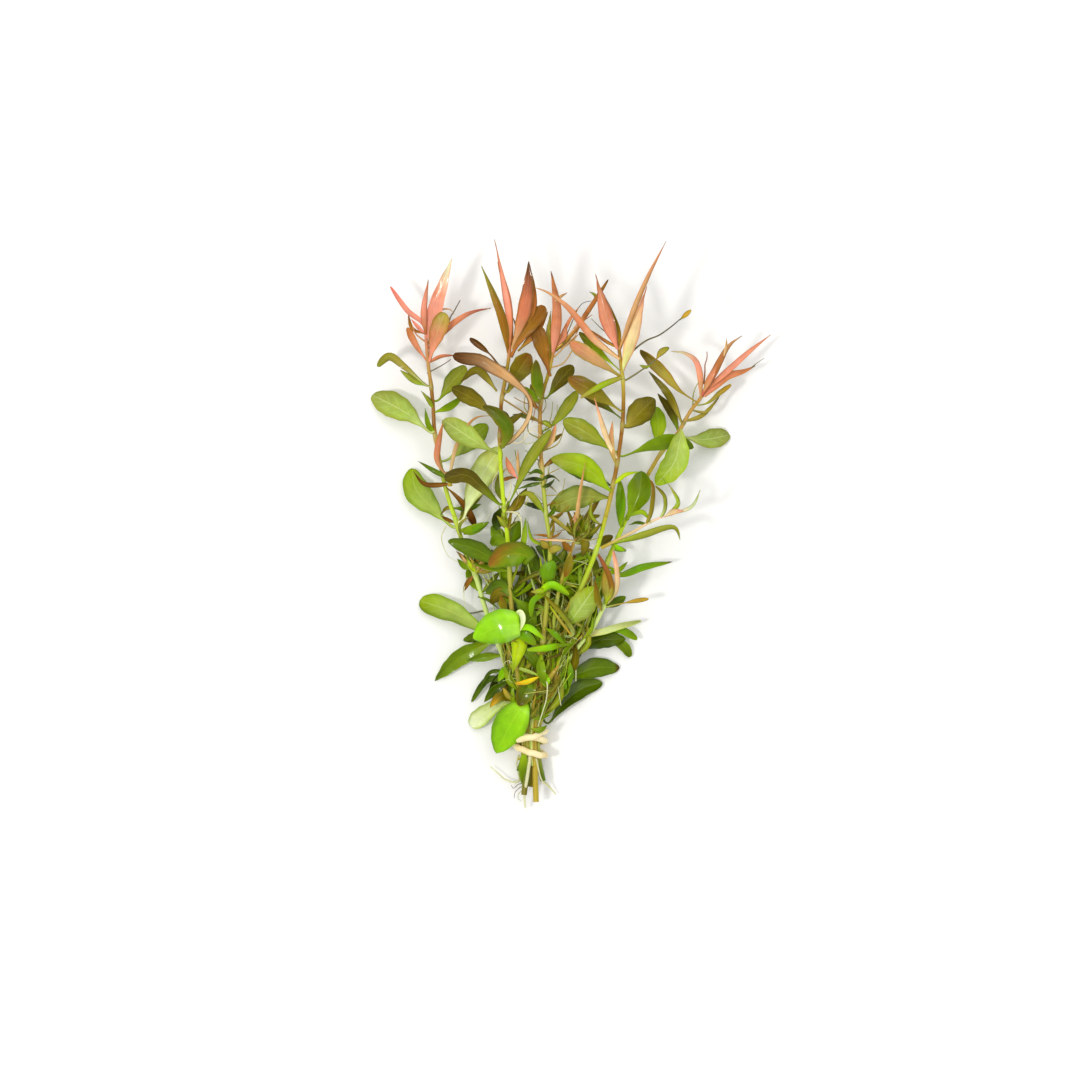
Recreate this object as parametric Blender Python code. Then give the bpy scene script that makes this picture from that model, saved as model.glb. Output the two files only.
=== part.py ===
# A bunch of needle leaf ludwigia: cut water-plant stems held by a rubber band, lying on a surface.
# The plan is drawn as seen from above, in plan points. A place is (across, down, height in mm).
# The surface is at height 0, the shoot tips point along +Y, and the cut ends point along -Y.

from math import cos, exp, pi, radians, sin

import bmesh
import bpy
from mathutils import Vector

MM = 0.001
PLAN_POINT = 0.42 * MM
PLAN_CENTRE = (570.5, 527.0)
GAP = 0.3 * MM
CURVE_STEPS = 12
DIRECTION_REACH = 0.02

STEM_RADIUS = 1.22 * MM
STEM_TIP_RADIUS = 0.85 * MM
STEM_SIDES = 6
RING_SPACING = 12.0 * MM
JOINT_SWELL = 0.28
JOINT_LENGTH = 1.5 * MM
RING_MINIMUM = 0.6 * MM

BUNDLE_ACROSS = 531.0
BUNDLE_DOWN = 744.0
BUNDLE_HEIGHT = 9.4 * MM
BUNDLE_RADIUS = 4.8 * MM
BAND_RADIUS = 1.1 * MM
BAND_SIDES = 6
BAND_TURNS = 3
BAND_RINGS_PER_TURN = 13
BAND_CLOSING = 45

LEAF_THICKNESS = 0.8 * MM
NEEDLE_THICKNESS = 0.9 * MM
ROOT_RADIUS = 0.3 * MM
ROOT_STATIONS = (0, 0.2, 0.4, 0.6, 0.8, 1)
ROOT_SIDES = 4

# Where a leaf is widest (1 is the middle, more is nearer the tip), how full its ends are,
# and the width of its stalk as a share of the blade's.
LEAF_FORMS = {
    "needle": (0.9, 0.6, 0.4),
    "lance": (1.0, 0.85, 0.3),
    "oval": (0.85, 0.65, 0.22),
    "spoon": (1.6, 0.85, 0.2),
    "long_spoon": (2.8, 0.8, 0.2),
    "strap": (1.0, 0.4, 0.5),
}
BROAD_STATIONS = (0, 0.2, 0.42, 0.62, 0.8, 0.93, 1)
NARROW_STATIONS = (0, 0.3, 0.6, 0.85, 1)
NARROW_WIDTH = 4.3

# Linear colours of the bare solids
ROUGHNESS = 0.45
SMOOTH_ANGLE = radians(50)
COLOURS = {
    "green": (0.13, 0.30, 0.02),
    "vivid": (0.16, 0.50, 0.01),
    "pale": (0.32, 0.46, 0.14),
    "olive": (0.17, 0.17, 0.03),
    "bronze": (0.28, 0.12, 0.04),
    "pink": (0.62, 0.20, 0.14),
    "stem": (0.38, 0.30, 0.05),
    "rubber": (0.72, 0.50, 0.30),
}


def leaf(colour, form, width, roll, fold, *route):
    # Width in mm as seen from above; roll raises the right-hand edge, fold raises both edges.
    return {
        "colour": colour,
        "form": form,
        "width": width,
        "roll": roll,
        "fold": fold,
        "route": route,
    }


# The long stems run from their cut end, under the band, to the shoot. joints: rows of the plan where
# the stem swells. tip: the row above which the shoot tip is a piece of its own.
STEMS = {
    "left": {
        "route": ((519, 772, 7.5), (523.6, 756, 9.3), (523.6, 729, 9.3), (515, 702, 10), (505, 664, 10.5),
                  (499, 646, 11), (487, 615, 12), (475, 575, 13.5), (468, 562, 14),
                  (456, 522, 15), (445, 487, 16), (435, 436, 18), (433, 408, 19),
                  (431, 386, 20), (428, 364, 21), (426, 338, 22)),
        "joints": (646, 575, 522, 436, 386),
        "tip": 378,
    },
    "inner_left": {
        "route": ((524, 796, 11.5), (527.4, 756, 12.0), (527.4, 729, 12.0), (521, 700, 16), (515, 650, 21),
                  (511, 600, 25), (508, 543, 30), (504, 507, 33), (500, 450, 37),
                  (501, 415, 39), (502, 399, 40), (507, 372, 41), (510, 350, 42)),
        "joints": (650, 507, 436, 399),
        "tip": 372,
    },
    "centre": {
        "route": ((536, 803, 10.5), (534.6, 756, 11.9), (534.6, 729, 11.9), (536, 690, 17), (543, 640, 22),
                  (548, 590, 26), (550, 545, 30), (546, 514, 31), (542, 469, 33),
                  (540, 436, 34), (541, 402, 36), (549, 372, 38), (554, 348, 38.5)),
        "joints": (640, 590, 514, 469, 402),
        "tip": 372,
    },
    "inner_right": {
        "route": ((543, 782, 7.5), (538.1, 756, 9.3), (538.1, 729, 9.3), (548, 700, 12), (560, 650, 16),
                  (572, 610, 20), (582, 586, 23), (596, 551, 27), (607, 511, 31),
                  (613, 484, 33), (617, 463, 35), (622, 426, 38), (623, 392, 41),
                  (621, 369, 42), (618, 346, 43)),
        "joints": (650, 551, 484, 463, 426, 379),
        "tip": 384,
    },
    "right": {
        "route": ((540, 774, 1.6), (534.9, 756, 6.7), (534.9, 729, 6.7), (555, 700, 7.5), (575, 650, 9),
                  (595, 600, 11), (608, 561, 12), (617, 540, 13), (640, 490, 16),
                  (655, 463, 17), (662, 452, 18), (678, 433, 19), (690, 412, 21),
                  (700, 399, 21.5), (711, 384, 22)),
        "joints": (650, 600, 561, 452, 423),
        "tip": 408,
    },
}

SHORT_SHOOTS = {
    "shoot_low_right": {
        "route": ((527, 779, 1.6), (526.7, 756, 6.7), (526.7, 729, 6.7), (540, 700, 9), (568, 660, 12.5),
                  (591, 631, 16), (603, 608, 19), (609, 588, 20.5)),
        "joints": (660, 631, 608),
        "thin": 1.0,
    },
    "shoot_centre": {
        "route": ((531, 788, 8.0), (531, 756, 9.3), (531, 729, 9.3), (541, 700, 12.8), (550, 650, 19),
                  (557, 600, 24), (566, 565, 26), (577, 535, 28)),
        "joints": (650, 600, 565),
        "thin": 0.9,
    },
    "side_shoot_right": {
        "route": ((601, 548, 28.5), (629, 534, 30), (650, 522, 30.5), (668, 515, 31)),
        "joints": (522,),
        "thin": 0.6,
    },
    "side_shoot_left": {
        "route": ((450, 486, 19.5), (449, 479, 20), (446, 472, 21)),
        "joints": (479,),
        "thin": 0.8,
    },
}

# Leaves that are a piece each, named after the stem that carries them
LEAVES = {
    "leaf_left_1": leaf("pale", "spoon", 10.9, -8, 10,
                        (429, 431, 18.5), (405, 412, 10), (371, 394, 0)),
    "leaf_left_2": leaf("olive", "lance", 3.8, 20, 15,
                        (426, 385, 20.5), (405, 367, 22), (389, 356, 20), (377, 366, 16)),
    "leaf_left_3": leaf("green", "spoon", 7.0, 15, 15,
                        (439, 399, 18.5), (451, 383, 20), (466, 366, 18)),
    "leaf_left_4": leaf("pale", "spoon", 10.8, -10, 12,
                        (451, 526, 14), (431, 507, 9), (415, 489, 5), (411, 468, 2)),
    "leaf_left_5": leaf("pale", "spoon", 10.9, 10, 10,
                        (463, 519, 16.5), (471, 497, 21), (484, 472, 22), (500, 447, 21)),
    "leaf_left_6": leaf("pale", "spoon", 9.2, 10, 10,
                        (494, 452, 34), (475, 441, 31), (443, 420, 27)),
    "leaf_left_7": leaf("green", "spoon", 8.4, 5, 10,
                        (448, 459, 16), (464, 446, 15), (487, 424, 12)),
    "leaf_left_8": leaf("green", "oval", 7.6, 10, 12,
                        (498, 561, 26), (475, 549, 21), (448, 541, 18)),
    "leaf_inner_left_1": leaf("bronze", "long_spoon", 5.3, 12, 18,
                              (508, 443, 38), (523, 429, 41), (531, 409, 44.5), (524, 391, 46.5),
                              (503, 375, 48.5), (484, 365, 48), (470, 361, 46.5), (454, 358, 44)),
    "leaf_inner_left_2": leaf("olive", "spoon", 8.6, -15, 12,
                              (509, 392, 42), (518, 373, 43.5), (530, 355, 42)),
    "leaf_inner_left_3": leaf("olive", "spoon", 5.2, 15, 18,
                              (499, 504, 34.5), (485, 490, 36), (466, 475, 33), (445, 479, 26)),
    "leaf_inner_left_4": leaf("olive", "spoon", 7.0, 12, 12,
                              (496, 419, 38.5), (478, 402, 36.5), (452, 388, 32)),
    "leaf_inner_left_5": leaf("green", "oval", 6.0, 10, 15,
                              (503, 447, 40.5), (508, 430, 43), (497, 415, 44), (483, 407, 43)),
    "leaf_inner_left_6": leaf("green", "spoon", 4.8, 10, 15,
                              (509, 503, 33), (529, 462, 38), (551, 430, 39)),
    "leaf_inner_left_7": leaf("bronze", "oval", 10.0, 5, 8,
                              (523, 555, 33), (505, 556, 33), (489, 565, 29)),
    "leaf_centre_1": leaf("green", "oval", 5.0, 15, 15,
                          (541, 398, 39.5), (537, 380, 44), (536, 361, 46)),
    "leaf_centre_2": leaf("olive", "spoon", 6.3, 12, 12,
                          (547, 398, 36), (560, 381, 37), (573, 366, 34)),
    "leaf_centre_3": leaf("green", "spoon", 5.0, 10, 15,
                          (546, 430, 33), (559, 418, 32), (578, 391, 30)),
    "leaf_inner_right_1": leaf("olive", "spoon", 7.4, 12, 12,
                               (619, 411, 41), (597, 395, 42), (568, 378, 41)),
    "leaf_inner_right_2": leaf("olive", "oval", 10.1, 20, 14,
                               (628, 426, 37), (639, 414, 37), (654, 399, 36)),
    "leaf_inner_right_3": leaf("olive", "spoon", 8.6, 10, 12,
                               (612, 451, 36), (588, 434, 37), (563, 421, 35)),
    "leaf_inner_right_4": leaf("vivid", "oval", 9.5, 12, 12,
                               (608, 489, 34), (584, 467, 37), (551, 459, 36)),
    "leaf_inner_right_5": leaf("green", "oval", 10.0, 12, 10,
                               (602, 497, 30.5), (578, 497, 31), (550, 509, 28)),
    "leaf_inner_right_6": leaf("green", "oval", 6.6, 10, 15,
                               (624, 456, 35), (648, 447, 29), (672, 442, 24), (694, 447, 20)),
    "leaf_right_1": leaf("green", "spoon", 6.6, 10, 10,
                         (658, 446, 14.5), (659, 425, 13), (656, 406, 9)),
    "leaf_right_2": leaf("pale", "spoon", 8.4, 8, 10,
                         (686, 437, 17), (706, 439, 10), (731, 434, 0)),
    "leaf_right_3": leaf("pale", "oval", 10.5, 10, 10,
                         (681, 432, 22), (679, 443, 26.5), (674, 463, 26), (656, 485, 22)),
    "leaf_right_4": leaf("vivid", "lance", 3.0, 20, 15,
                         (613, 569, 13), (622, 575, 14), (645, 567, 12), (673, 562, 9)),
    "leaf_right_5": leaf("green", "spoon", 10.0, 10, 12,
                         (628, 519, 17.5), (639, 494, 20), (642, 471, 20)),
    "leaf_right_6": leaf("vivid", "oval", 4.2, 10, 15,
                         (621, 525, 17), (621, 503, 20), (620, 480, 21)),
    "leaf_low_1": leaf("pale", "long_spoon", 9.6, -8, 10,
                       (485, 632, 11), (455, 614, 6.5), (419, 601, 2)),
    "leaf_low_2": leaf("vivid", "oval", 13.9, 6, 8,
                       (519, 627, 26), (499, 630, 25), (474, 640, 21)),
    "leaf_low_3": leaf("green", "lance", 7.0, 15, 20,
                       (492, 641, 10.5), (459, 658, 7), (434, 682, 2.5)),
    "leaf_low_4": leaf("vivid", "oval", 5.0, 20, 20,
                       (519, 647, 24), (516, 658, 25), (513, 671, 24)),
    "leaf_low_5": leaf("vivid", "oval", 13.9, 10, 8,
                       (524, 708, 19.5), (509, 728, 18.5), (497, 755, 13)),
    "leaf_low_6": leaf("pale", "oval", 7.1, -10, 12,
                       (508, 703, 9), (494, 708, 7), (470, 727, 2.5)),
    "leaf_low_7": leaf("vivid", "strap", 3.2, 15, 20,
                       (543, 590, 28), (553, 585, 30.5), (569, 595, 28)),
    "leaf_low_8": leaf("pale", "oval", 10.9, 8, 10,
                       (570, 622, 21.3), (582, 606, 23.5), (595, 587, 25)),
    "leaf_low_9": leaf("green", "oval", 8.4, 12, 14,
                       (571, 678, 6.5), (595, 669, 4), (620, 669, 1.5)),
    "leaf_low_10": leaf("olive", "spoon", 7.6, 15, 14,
                        (549, 724, 5), (564, 705, 4.5), (582, 690, 3), (603, 684, 1.5)),
    "leaf_low_11": leaf("pale", "lance", 3.6, 15, 15,
                        (585, 635, 11), (612, 629, 10), (642, 622, 7)),
    "leaf_low_12": leaf("green", "long_spoon", 4.6, 10, 14,
                        (583, 646, 6.5), (602, 640, 5), (620, 641, 4), (633, 658, 1.2)),
    "leaf_low_13": leaf("olive", "strap", 2.4, 20, 15,
                        (569, 637, 19), (571, 628, 22.5), (560, 611, 28), (545, 594, 30.5)),
    "leaf_low_14": leaf("olive", "oval", 6.0, 10, 15,
                        (536, 683, 20.5), (530, 694, 22), (520, 707, 21)),
}

# Leaves that are fused to the piece they grow from, named first
FUSED_LEAVES = {
    "tip_left": (
        leaf("pink", "needle", 2.3, 10, 15, (427, 350, 21.5), (408, 322, 22), (390, 287, 20)),
        leaf("pink", "needle", 2.6, 10, 15, (426, 348, 22), (426, 315, 26), (428, 281, 29)),
        leaf("pink", "needle", 5.6, 10, 15, (427, 342, 22), (438, 300, 27), (452, 259, 30)),
        leaf("bronze", "spoon", 7.1, 10, 12, (428, 362, 21.5), (436, 335, 27), (445, 314, 29)),
        leaf("pink", "needle", 2.3, 10, 15, (427, 356, 21), (452, 325, 24), (490, 307, 24)),
        leaf("pink", "needle", 2.2, 10, 15, (427, 352, 21), (442, 317, 21), (460, 300, 20)),
        leaf("pink", "needle", 2.9, 10, 15, (428, 363, 21), (413, 344, 19), (407, 326, 17)),
        leaf("pink", "needle", 2.0, 10, 15, (427, 344, 21), (417, 332, 19), (412, 320, 17)),
        leaf("pink", "needle", 2.0, 10, 15, (429, 370, 21), (433, 360, 21), (455, 355, 19)),
    ),
    "tip_inner_left": (
        leaf("bronze", "lance", 6.8, 12, 15, (510, 359, 41), (525, 333, 45), (547, 309, 46)),
        leaf("olive", "needle", 4.2, 15, 15, (509, 354, 41), (500, 315, 45), (482, 269, 46)),
        leaf("pink", "needle", 3.0, 15, 15, (511, 350, 42), (507, 300, 47), (495, 243, 51)),
        leaf("pink", "oval", 6.0, 10, 15, (511, 352, 42), (524, 318, 48), (529, 292, 51), (528, 265, 53)),
        leaf("bronze", "spoon", 2.2, 10, 15, (507, 369, 41), (496, 360, 40), (469, 339, 38)),
    ),
    "tip_centre": (
        leaf("bronze", "oval", 6.0, 15, 15, (550, 369, 38), (541, 351, 41), (537, 326, 42.5)),
        leaf("pink", "needle", 4.0, 15, 15, (553, 352, 38.5), (556, 310, 45), (551, 273, 49)),
        leaf("olive", "needle", 2.0, 15, 15, (552, 360, 38), (549, 330, 40), (550, 309, 40)),
        leaf("bronze", "needle", 2.0, 15, 15, (552, 358, 38), (566, 344, 37), (578, 333, 35)),
        leaf("pink", "needle", 2.2, 15, 15, (553, 352, 38), (566, 330, 39), (582, 303, 37)),
    ),
    "tip_inner_right": (
        leaf("bronze", "needle", 2.7, 15, 15, (619, 353, 43), (596, 340, 47.5), (568, 315, 52), (536, 291, 53)),
        leaf("bronze", "needle", 3.0, 15, 15, (619, 352, 43), (633, 316, 48), (648, 280, 51), (665, 245, 52)),
        leaf("pink", "needle", 4.8, 15, 15, (621, 372, 42), (634, 330, 45), (647, 287, 46)),
        leaf("pink", "lance", 6.4, 10, 15, (618, 352, 43), (607, 318, 45), (597, 276, 46)),
        leaf("bronze", "needle", 2.3, 15, 15, (619, 352, 42), (613, 318, 41), (602, 291, 39)),
        leaf("bronze", "spoon", 5.6, 15, 12, (622, 378, 41.5), (596, 361, 44), (570, 344, 44)),
        leaf("olive", "spoon", 3.6, 15, 12, (621, 374, 41.5), (600, 352, 40.5), (581, 334, 38)),
        leaf("vivid", "strap", 2.5, 15, 12, (622, 378, 42), (602, 386, 46), (580, 399, 46)),
        leaf("olive", "spoon", 2.4, 15, 12, (622, 380, 41.5), (645, 367, 42), (669, 348, 41)),
        leaf("olive", "needle", 1.9, 15, 12, (621, 368, 42), (655, 338, 42), (690, 312, 40)),
    ),
    "tip_right": (
        leaf("bronze", "needle", 2.6, 15, 15, (706, 391, 22), (738, 364, 20), (771, 335, 14)),
        leaf("pink", "needle", 2.6, 15, 15, (703, 394, 22), (722, 355, 27), (743, 335, 28)),
        leaf("pink", "needle", 2.0, 15, 15, (706, 388, 22), (722, 362, 24), (727, 338, 23)),
        leaf("pink", "needle", 2.2, 15, 15, (704, 395, 22), (700, 366, 26), (671, 351, 26)),
        leaf("bronze", "needle", 1.8, 15, 15, (705, 390, 22), (705, 370, 23), (709, 351, 22)),
        leaf("bronze", "needle", 3.6, 15, 15, (705, 394, 22), (738, 375, 18), (765, 358, 13)),
        leaf("olive", "needle", 2.0, 15, 15, (702, 399, 21), (716, 397, 17), (733, 383, 12)),
        leaf("olive", "spoon", 4.0, 15, 15, (698, 402, 22), (668, 378, 25), (640, 350, 25)),
    ),
    "shoot_low_right": (
        leaf("bronze", "lance", 2.6, 15, 15, (602, 611, 19), (600, 602, 28), (597, 580, 31)),
        leaf("olive", "lance", 3.2, 15, 15, (607, 598, 20), (608, 585, 24), (606, 570, 26)),
        leaf("pink", "lance", 2.8, 15, 15, (606, 600, 20), (617, 580, 25), (613, 549, 27)),
        leaf("bronze", "needle", 2.2, 15, 15, (607, 602, 20), (612, 575, 29), (597, 553, 33)),
        leaf("olive", "lance", 2.4, 15, 15, (603, 608, 19), (625, 602, 18.5), (649, 599, 16)),
        leaf("green", "oval", 3.8, 10, 12, (603, 607, 19), (613, 604, 16.5), (626, 597, 13)),
    ),
    "shoot_centre": (
        leaf("pink", "needle", 2.6, 15, 15, (575, 540, 27.5), (583, 500, 36), (586, 464, 40)),
        leaf("bronze", "lance", 2.6, 15, 15, (576, 538, 27), (588, 516, 26.5), (602, 495, 26.5)),
        leaf("bronze", "needle", 1.8, 15, 15, (575, 540, 27), (572, 522, 26), (565, 505, 24.5)),
        leaf("bronze", "oval", 3.4, 10, 12, (564, 571, 25.6), (569, 565, 23), (575, 555, 21)),
        leaf("green", "oval", 6.0, 10, 12, (550, 648, 19.2), (545, 656, 10), (537, 668, 1)),
    ),
    "side_shoot_right": (
        leaf("olive", "lance", 2.9, 15, 15,
             (608, 545, 28.5), (640, 536, 32), (672, 527, 32), (680, 540, 30)),
        leaf("olive", "needle", 1.8, 15, 15, (641, 528, 30), (653, 505, 33), (652, 481, 34)),
        leaf("olive", "needle", 1.8, 15, 15, (659, 518, 30.5), (667, 503, 34), (656, 486, 35)),
        leaf("bronze", "needle", 1.8, 15, 15, (666, 516, 31), (678, 503, 32), (668, 484, 32)),
        leaf("pink", "needle", 2.2, 15, 15, (664, 517, 31), (686, 509, 31), (700, 491, 30)),
    ),
    "side_shoot_left": (
        leaf("pink", "lance", 2.6, 15, 15, (447, 476, 20), (437, 458, 24), (443, 423, 31)),
        leaf("bronze", "needle", 1.6, 15, 15,
             (449, 479, 20), (457, 445, 26), (473, 420, 31.5), (491, 416, 34.5)),
        leaf("bronze", "needle", 2.0, 15, 15, (450, 484, 19.5), (425, 484, 17), (413, 471, 14)),
        leaf("green", "needle", 2.0, 15, 15, (448, 478, 20), (433, 470, 20), (418, 461, 18)),
    ),
    "stem_left": (
        leaf("green", "needle", 2.2, 10, 12, (434, 432, 18), (428, 424, 21), (425, 408, 22)),
        leaf("green", "needle", 2.0, 10, 12, (433, 408, 19), (428, 399, 21), (421, 391, 21)),
        leaf("green", "lance", 3.2, 10, 12, (434, 412, 19), (450, 406, 17), (463, 395, 14)),
        leaf("olive", "lance", 2.2, 10, 12, (474, 575, 13.5), (468, 582, 11), (463, 592, 8)),
        leaf("green", "lance", 4.2, 10, 12, (458, 530, 15), (472, 530, 19), (489, 522, 20)),
        leaf("green", "lance", 3.6, 10, 12, (503, 656, 10.5), (488, 657, 11), (467, 661, 9)),
        leaf("green", "strap", 2.6, 10, 12, (511, 684, 10), (488, 680, 7), (471, 703, 3)),
        leaf("olive", "lance", 4.0, 10, 12, (514, 697, 10), (500, 699, 13), (489, 708, 13)),
        leaf("vivid", "lance", 3.6, 10, 12, (508, 672, 10.5), (504, 672, 14), (498, 682, 15)),
        leaf("green", "oval", 6.8, 10, 12, (457, 524, 15), (474, 494, 7), (493, 463, 0.5)),
    ),
    "stem_inner_left": (
        leaf("olive", "lance", 3.4, 10, 12, (502, 396, 40), (478, 371, 42), (461, 383, 38)),
        leaf("olive", "lance", 4.2, 10, 12, (505, 512, 33), (516, 506, 30), (527, 488, 28)),
        leaf("green", "lance", 2.4, 10, 12, (509, 556, 29), (522, 548, 32), (526, 518, 35)),
        leaf("green", "lance", 4.0, 10, 12, (505, 510, 33), (498, 518, 30), (496, 532, 28)),
        leaf("olive", "lance", 2.6, 10, 12, (514, 634, 22.5), (530, 634, 26), (545, 640, 27)),
        leaf("olive", "lance", 3.0, 10, 12, (500, 430, 38), (512, 421, 39), (524, 413, 39)),
        leaf("green", "oval", 6.0, 10, 12, (509, 552, 29), (500, 538, 26), (492, 526, 23)),
        leaf("green", "lance", 3.8, 10, 12, (511, 603, 25), (499, 588, 22), (485, 592, 17)),
        leaf("green", "oval", 5.6, 10, 12, (512, 612, 24), (524, 608, 19), (536, 597, 15)),
        leaf("olive", "spoon", 5.0, 10, 12, (501, 442, 37), (507, 425, 28), (497, 410, 17)),
        leaf("olive", "spoon", 5.0, 10, 12, (502, 399, 39.5), (515, 380, 29), (526, 362, 19)),
    ),
    "stem_centre": (
        leaf("green", "lance", 3.4, 10, 12, (541, 405, 36), (532, 396, 35), (524, 387, 33)),
        leaf("green", "strap", 2.5, 10, 12, (547, 592, 26), (532, 602, 29), (531, 619, 27)),
        leaf("green", "lance", 3.8, 10, 12, (541, 652, 21), (541, 670, 23.5), (546, 687, 22)),
        leaf("green", "lance", 5.0, 10, 12, (549, 578, 27), (557, 569, 30), (559, 556, 31)),
        leaf("bronze", "lance", 2.6, 10, 12, (542, 452, 33.5), (551, 441, 36), (556, 424, 36.5)),
        leaf("green", "oval", 5.6, 10, 12, (545, 620, 23.5), (531, 618, 18), (519, 610, 12)),
        leaf("green", "lance", 4.6, 10, 12, (543, 645, 21.5), (530, 641, 17), (518, 634, 11)),
    ),
    "stem_inner_right": (
        leaf("pink", "lance", 2.4, 15, 12, (616, 467, 34.5), (611, 446, 39.5), (612, 422, 43.5)),
        leaf("pink", "needle", 2.2, 15, 12, (618, 460, 35), (607, 440, 41), (594, 399, 46)),
        leaf("vivid", "strap", 2.8, 15, 12, (562, 645, 16.5), (546, 648, 25.5), (527, 650, 26.5)),
        leaf("olive", "needle", 1.8, 15, 12, (613, 485, 33), (625, 475, 34.5), (636, 471, 33)),
        leaf("green", "oval", 6.4, 10, 12, (613, 487, 33), (588, 474, 21), (560, 464, 9)),
        leaf("olive", "spoon", 5.4, 10, 12, (622, 420, 38), (600, 402, 26), (577, 384, 14)),
        leaf("green", "oval", 5.6, 10, 12, (583, 584, 23.3), (576, 594, 17), (568, 604, 11)),
    ),
    "stem_right": (
        leaf("bronze", "lance", 3.2, 15, 12, (683, 425, 20), (669, 395, 21), (649, 371, 20)),
        leaf("olive", "lance", 3.6, 15, 12, (679, 433, 19), (672, 412, 17), (658, 393, 13)),
        leaf("olive", "needle", 1.8, 15, 12, (685, 421, 20), (703, 415, 16), (719, 397, 11)),
        leaf("pale", "lance", 2.2, 15, 12, (604, 573, 12), (618, 571, 10), (628, 562, 8)),
        leaf("green", "lance", 2.4, 15, 12, (613, 550, 12.5), (619, 549, 10), (627, 551, 8)),
        leaf("green", "lance", 2.8, 15, 12, (577, 645, 9), (608, 634, 7.5), (639, 640, 6.5)),
        leaf("green", "oval", 6.8, 10, 12, (628, 513, 14.5), (638, 495, 8), (642, 476, 1)),
    ),
}

# White water roots at the cut ends, fused to their stem
ROOTS = {
    "stem_left": (
        ((520, 766, 8), (510, 783, 6), (503, 780, 5), (490, 768, 4)),
    ),
    "shoot_centre": (
        ((530, 762, 9), (527, 785, 10), (525, 809, 6)),
    ),
    "stem_inner_right": (
        ((540, 760, 8.5), (545, 783, 6), (557, 796, 3)),
    ),
}

# The band's way round the bundle: degrees from the right-hand side over the top, place along
# the bundle in mm, and how far it is lifted off the strands under it.
BAND_WAY = (
    (0, -5.0, 0.0), (90, -4.6, 0.0), (180, -3.4, 0.0), (270, 0.4, 0.0),
    (360, 3.2, 0.0), (450, 1.2, 0.0), (540, -0.6, 0.0), (630, 3.0, 0.0),
    (720, 5.9, 0.0), (810, 4.0, 0.0), (900, 3.4, 0.3), (945, 2.0, 2.4),
    (990, -0.6, 2.5), (1035, -3.4, 1.8),
)


def place(point):
    across, down, height = point
    return Vector((
        (across - PLAN_CENTRE[0]) * PLAN_POINT,
        (PLAN_CENTRE[1] - down) * PLAN_POINT,
        height * MM,
    ))


def smooth(points):
    # A Catmull-Rom curve through the points, as many short runs
    last = len(points) - 1
    curve = []
    for i in range(last):
        a, b, c, d = [points[min(max(i + k, 0), last)] for k in (-1, 0, 1, 2)]
        for s in range(CURVE_STEPS):
            t = s / CURVE_STEPS
            curve.append(0.5 * (2 * b + (c - a) * t + (2 * a - 5 * b + 4 * c - d) * t * t
                                + (3 * b - a - 3 * c + d) * t ** 3))
    curve.append(points[last].copy())
    return curve


def lengths_along(curve):
    total = [0.0]
    for a, b in zip(curve, curve[1:]):
        total.append(total[-1] + (b - a).length)
    return total


def point_at(curve, total, distance):
    for i in range(1, len(curve)):
        if total[i] >= distance or i == len(curve) - 1:
            run = total[i] - total[i - 1]
            share = (distance - total[i - 1]) / run if run > 0 else 0.0
            return curve[i - 1].lerp(curve[i], min(max(share, 0.0), 1.0))


def stations_on(curve, distances):
    # The centre, direction and level sideways direction at each distance along the curve
    total = lengths_along(curve)
    reach = DIRECTION_REACH * total[-1]
    found = []
    for d in distances:
        centre = point_at(curve, total, d)
        ahead = point_at(curve, total, min(d + reach, total[-1]))
        behind = point_at(curve, total, max(d - reach, 0.0))
        along = (ahead - behind).normalized()
        side = along.cross(Vector((0, 0, 1))).normalized()
        found.append((centre, along, side))
    return found


def rest_on_surface(point):
    point.z = max(point.z, 0.0)
    return point


def add_rings(rings, closed=False, pointed=False):
    # A solid through rings of equal counts of points; pointed ends in a single point
    mesh = bmesh.new()
    rows = [[mesh.verts.new(rest_on_surface(p)) for p in ring] for ring in rings]
    pairs = list(zip(rows, rows[1:]))
    if closed:
        pairs.append((rows[-1], rows[0]))
    for low, high in pairs:
        count = max(len(low), len(high))
        for k in range(count):
            n = (k + 1) % count
            if len(high) == 1:
                mesh.faces.new((low[k], low[n], high[0]))
            else:
                mesh.faces.new((low[k], low[n], high[n], high[k]))
    if not closed:
        mesh.faces.new(list(reversed(rows[0])))
        if not pointed:
            mesh.faces.new(rows[-1])
    bmesh.ops.triangulate(mesh, faces=mesh.faces)
    bmesh.ops.recalc_face_normals(mesh, faces=mesh.faces)
    if mesh.calc_volume(signed=True) < 0:
        bmesh.ops.reverse_faces(mesh, faces=mesh.faces)
    return mesh


def make_object(name, mesh, colour):
    data = bpy.data.meshes.new(name)
    mesh.to_mesh(data)
    mesh.free()
    data.shade_smooth()
    data.set_sharp_from_angle(angle=SMOOTH_ANGLE)
    made = bpy.data.objects.new(name, data)
    bpy.context.scene.collection.objects.link(made)
    material = bpy.data.materials.new(name)
    material.use_nodes = True
    surface = material.node_tree.nodes["Principled BSDF"]
    surface.inputs["Base Color"].default_value = (*COLOURS[colour], 1)
    surface.inputs["Roughness"].default_value = ROUGHNESS
    surface.inputs["Metallic"].default_value = 0.0
    data.materials.append(material)
    return made


def leaf_width(form, t):
    lean, full, stalk = LEAF_FORMS[form]
    blade = sin(pi * t ** lean) ** full if 0 < t < 1 else 0.0
    return max(blade, stalk * (1 - t) ** 0.5)


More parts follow.
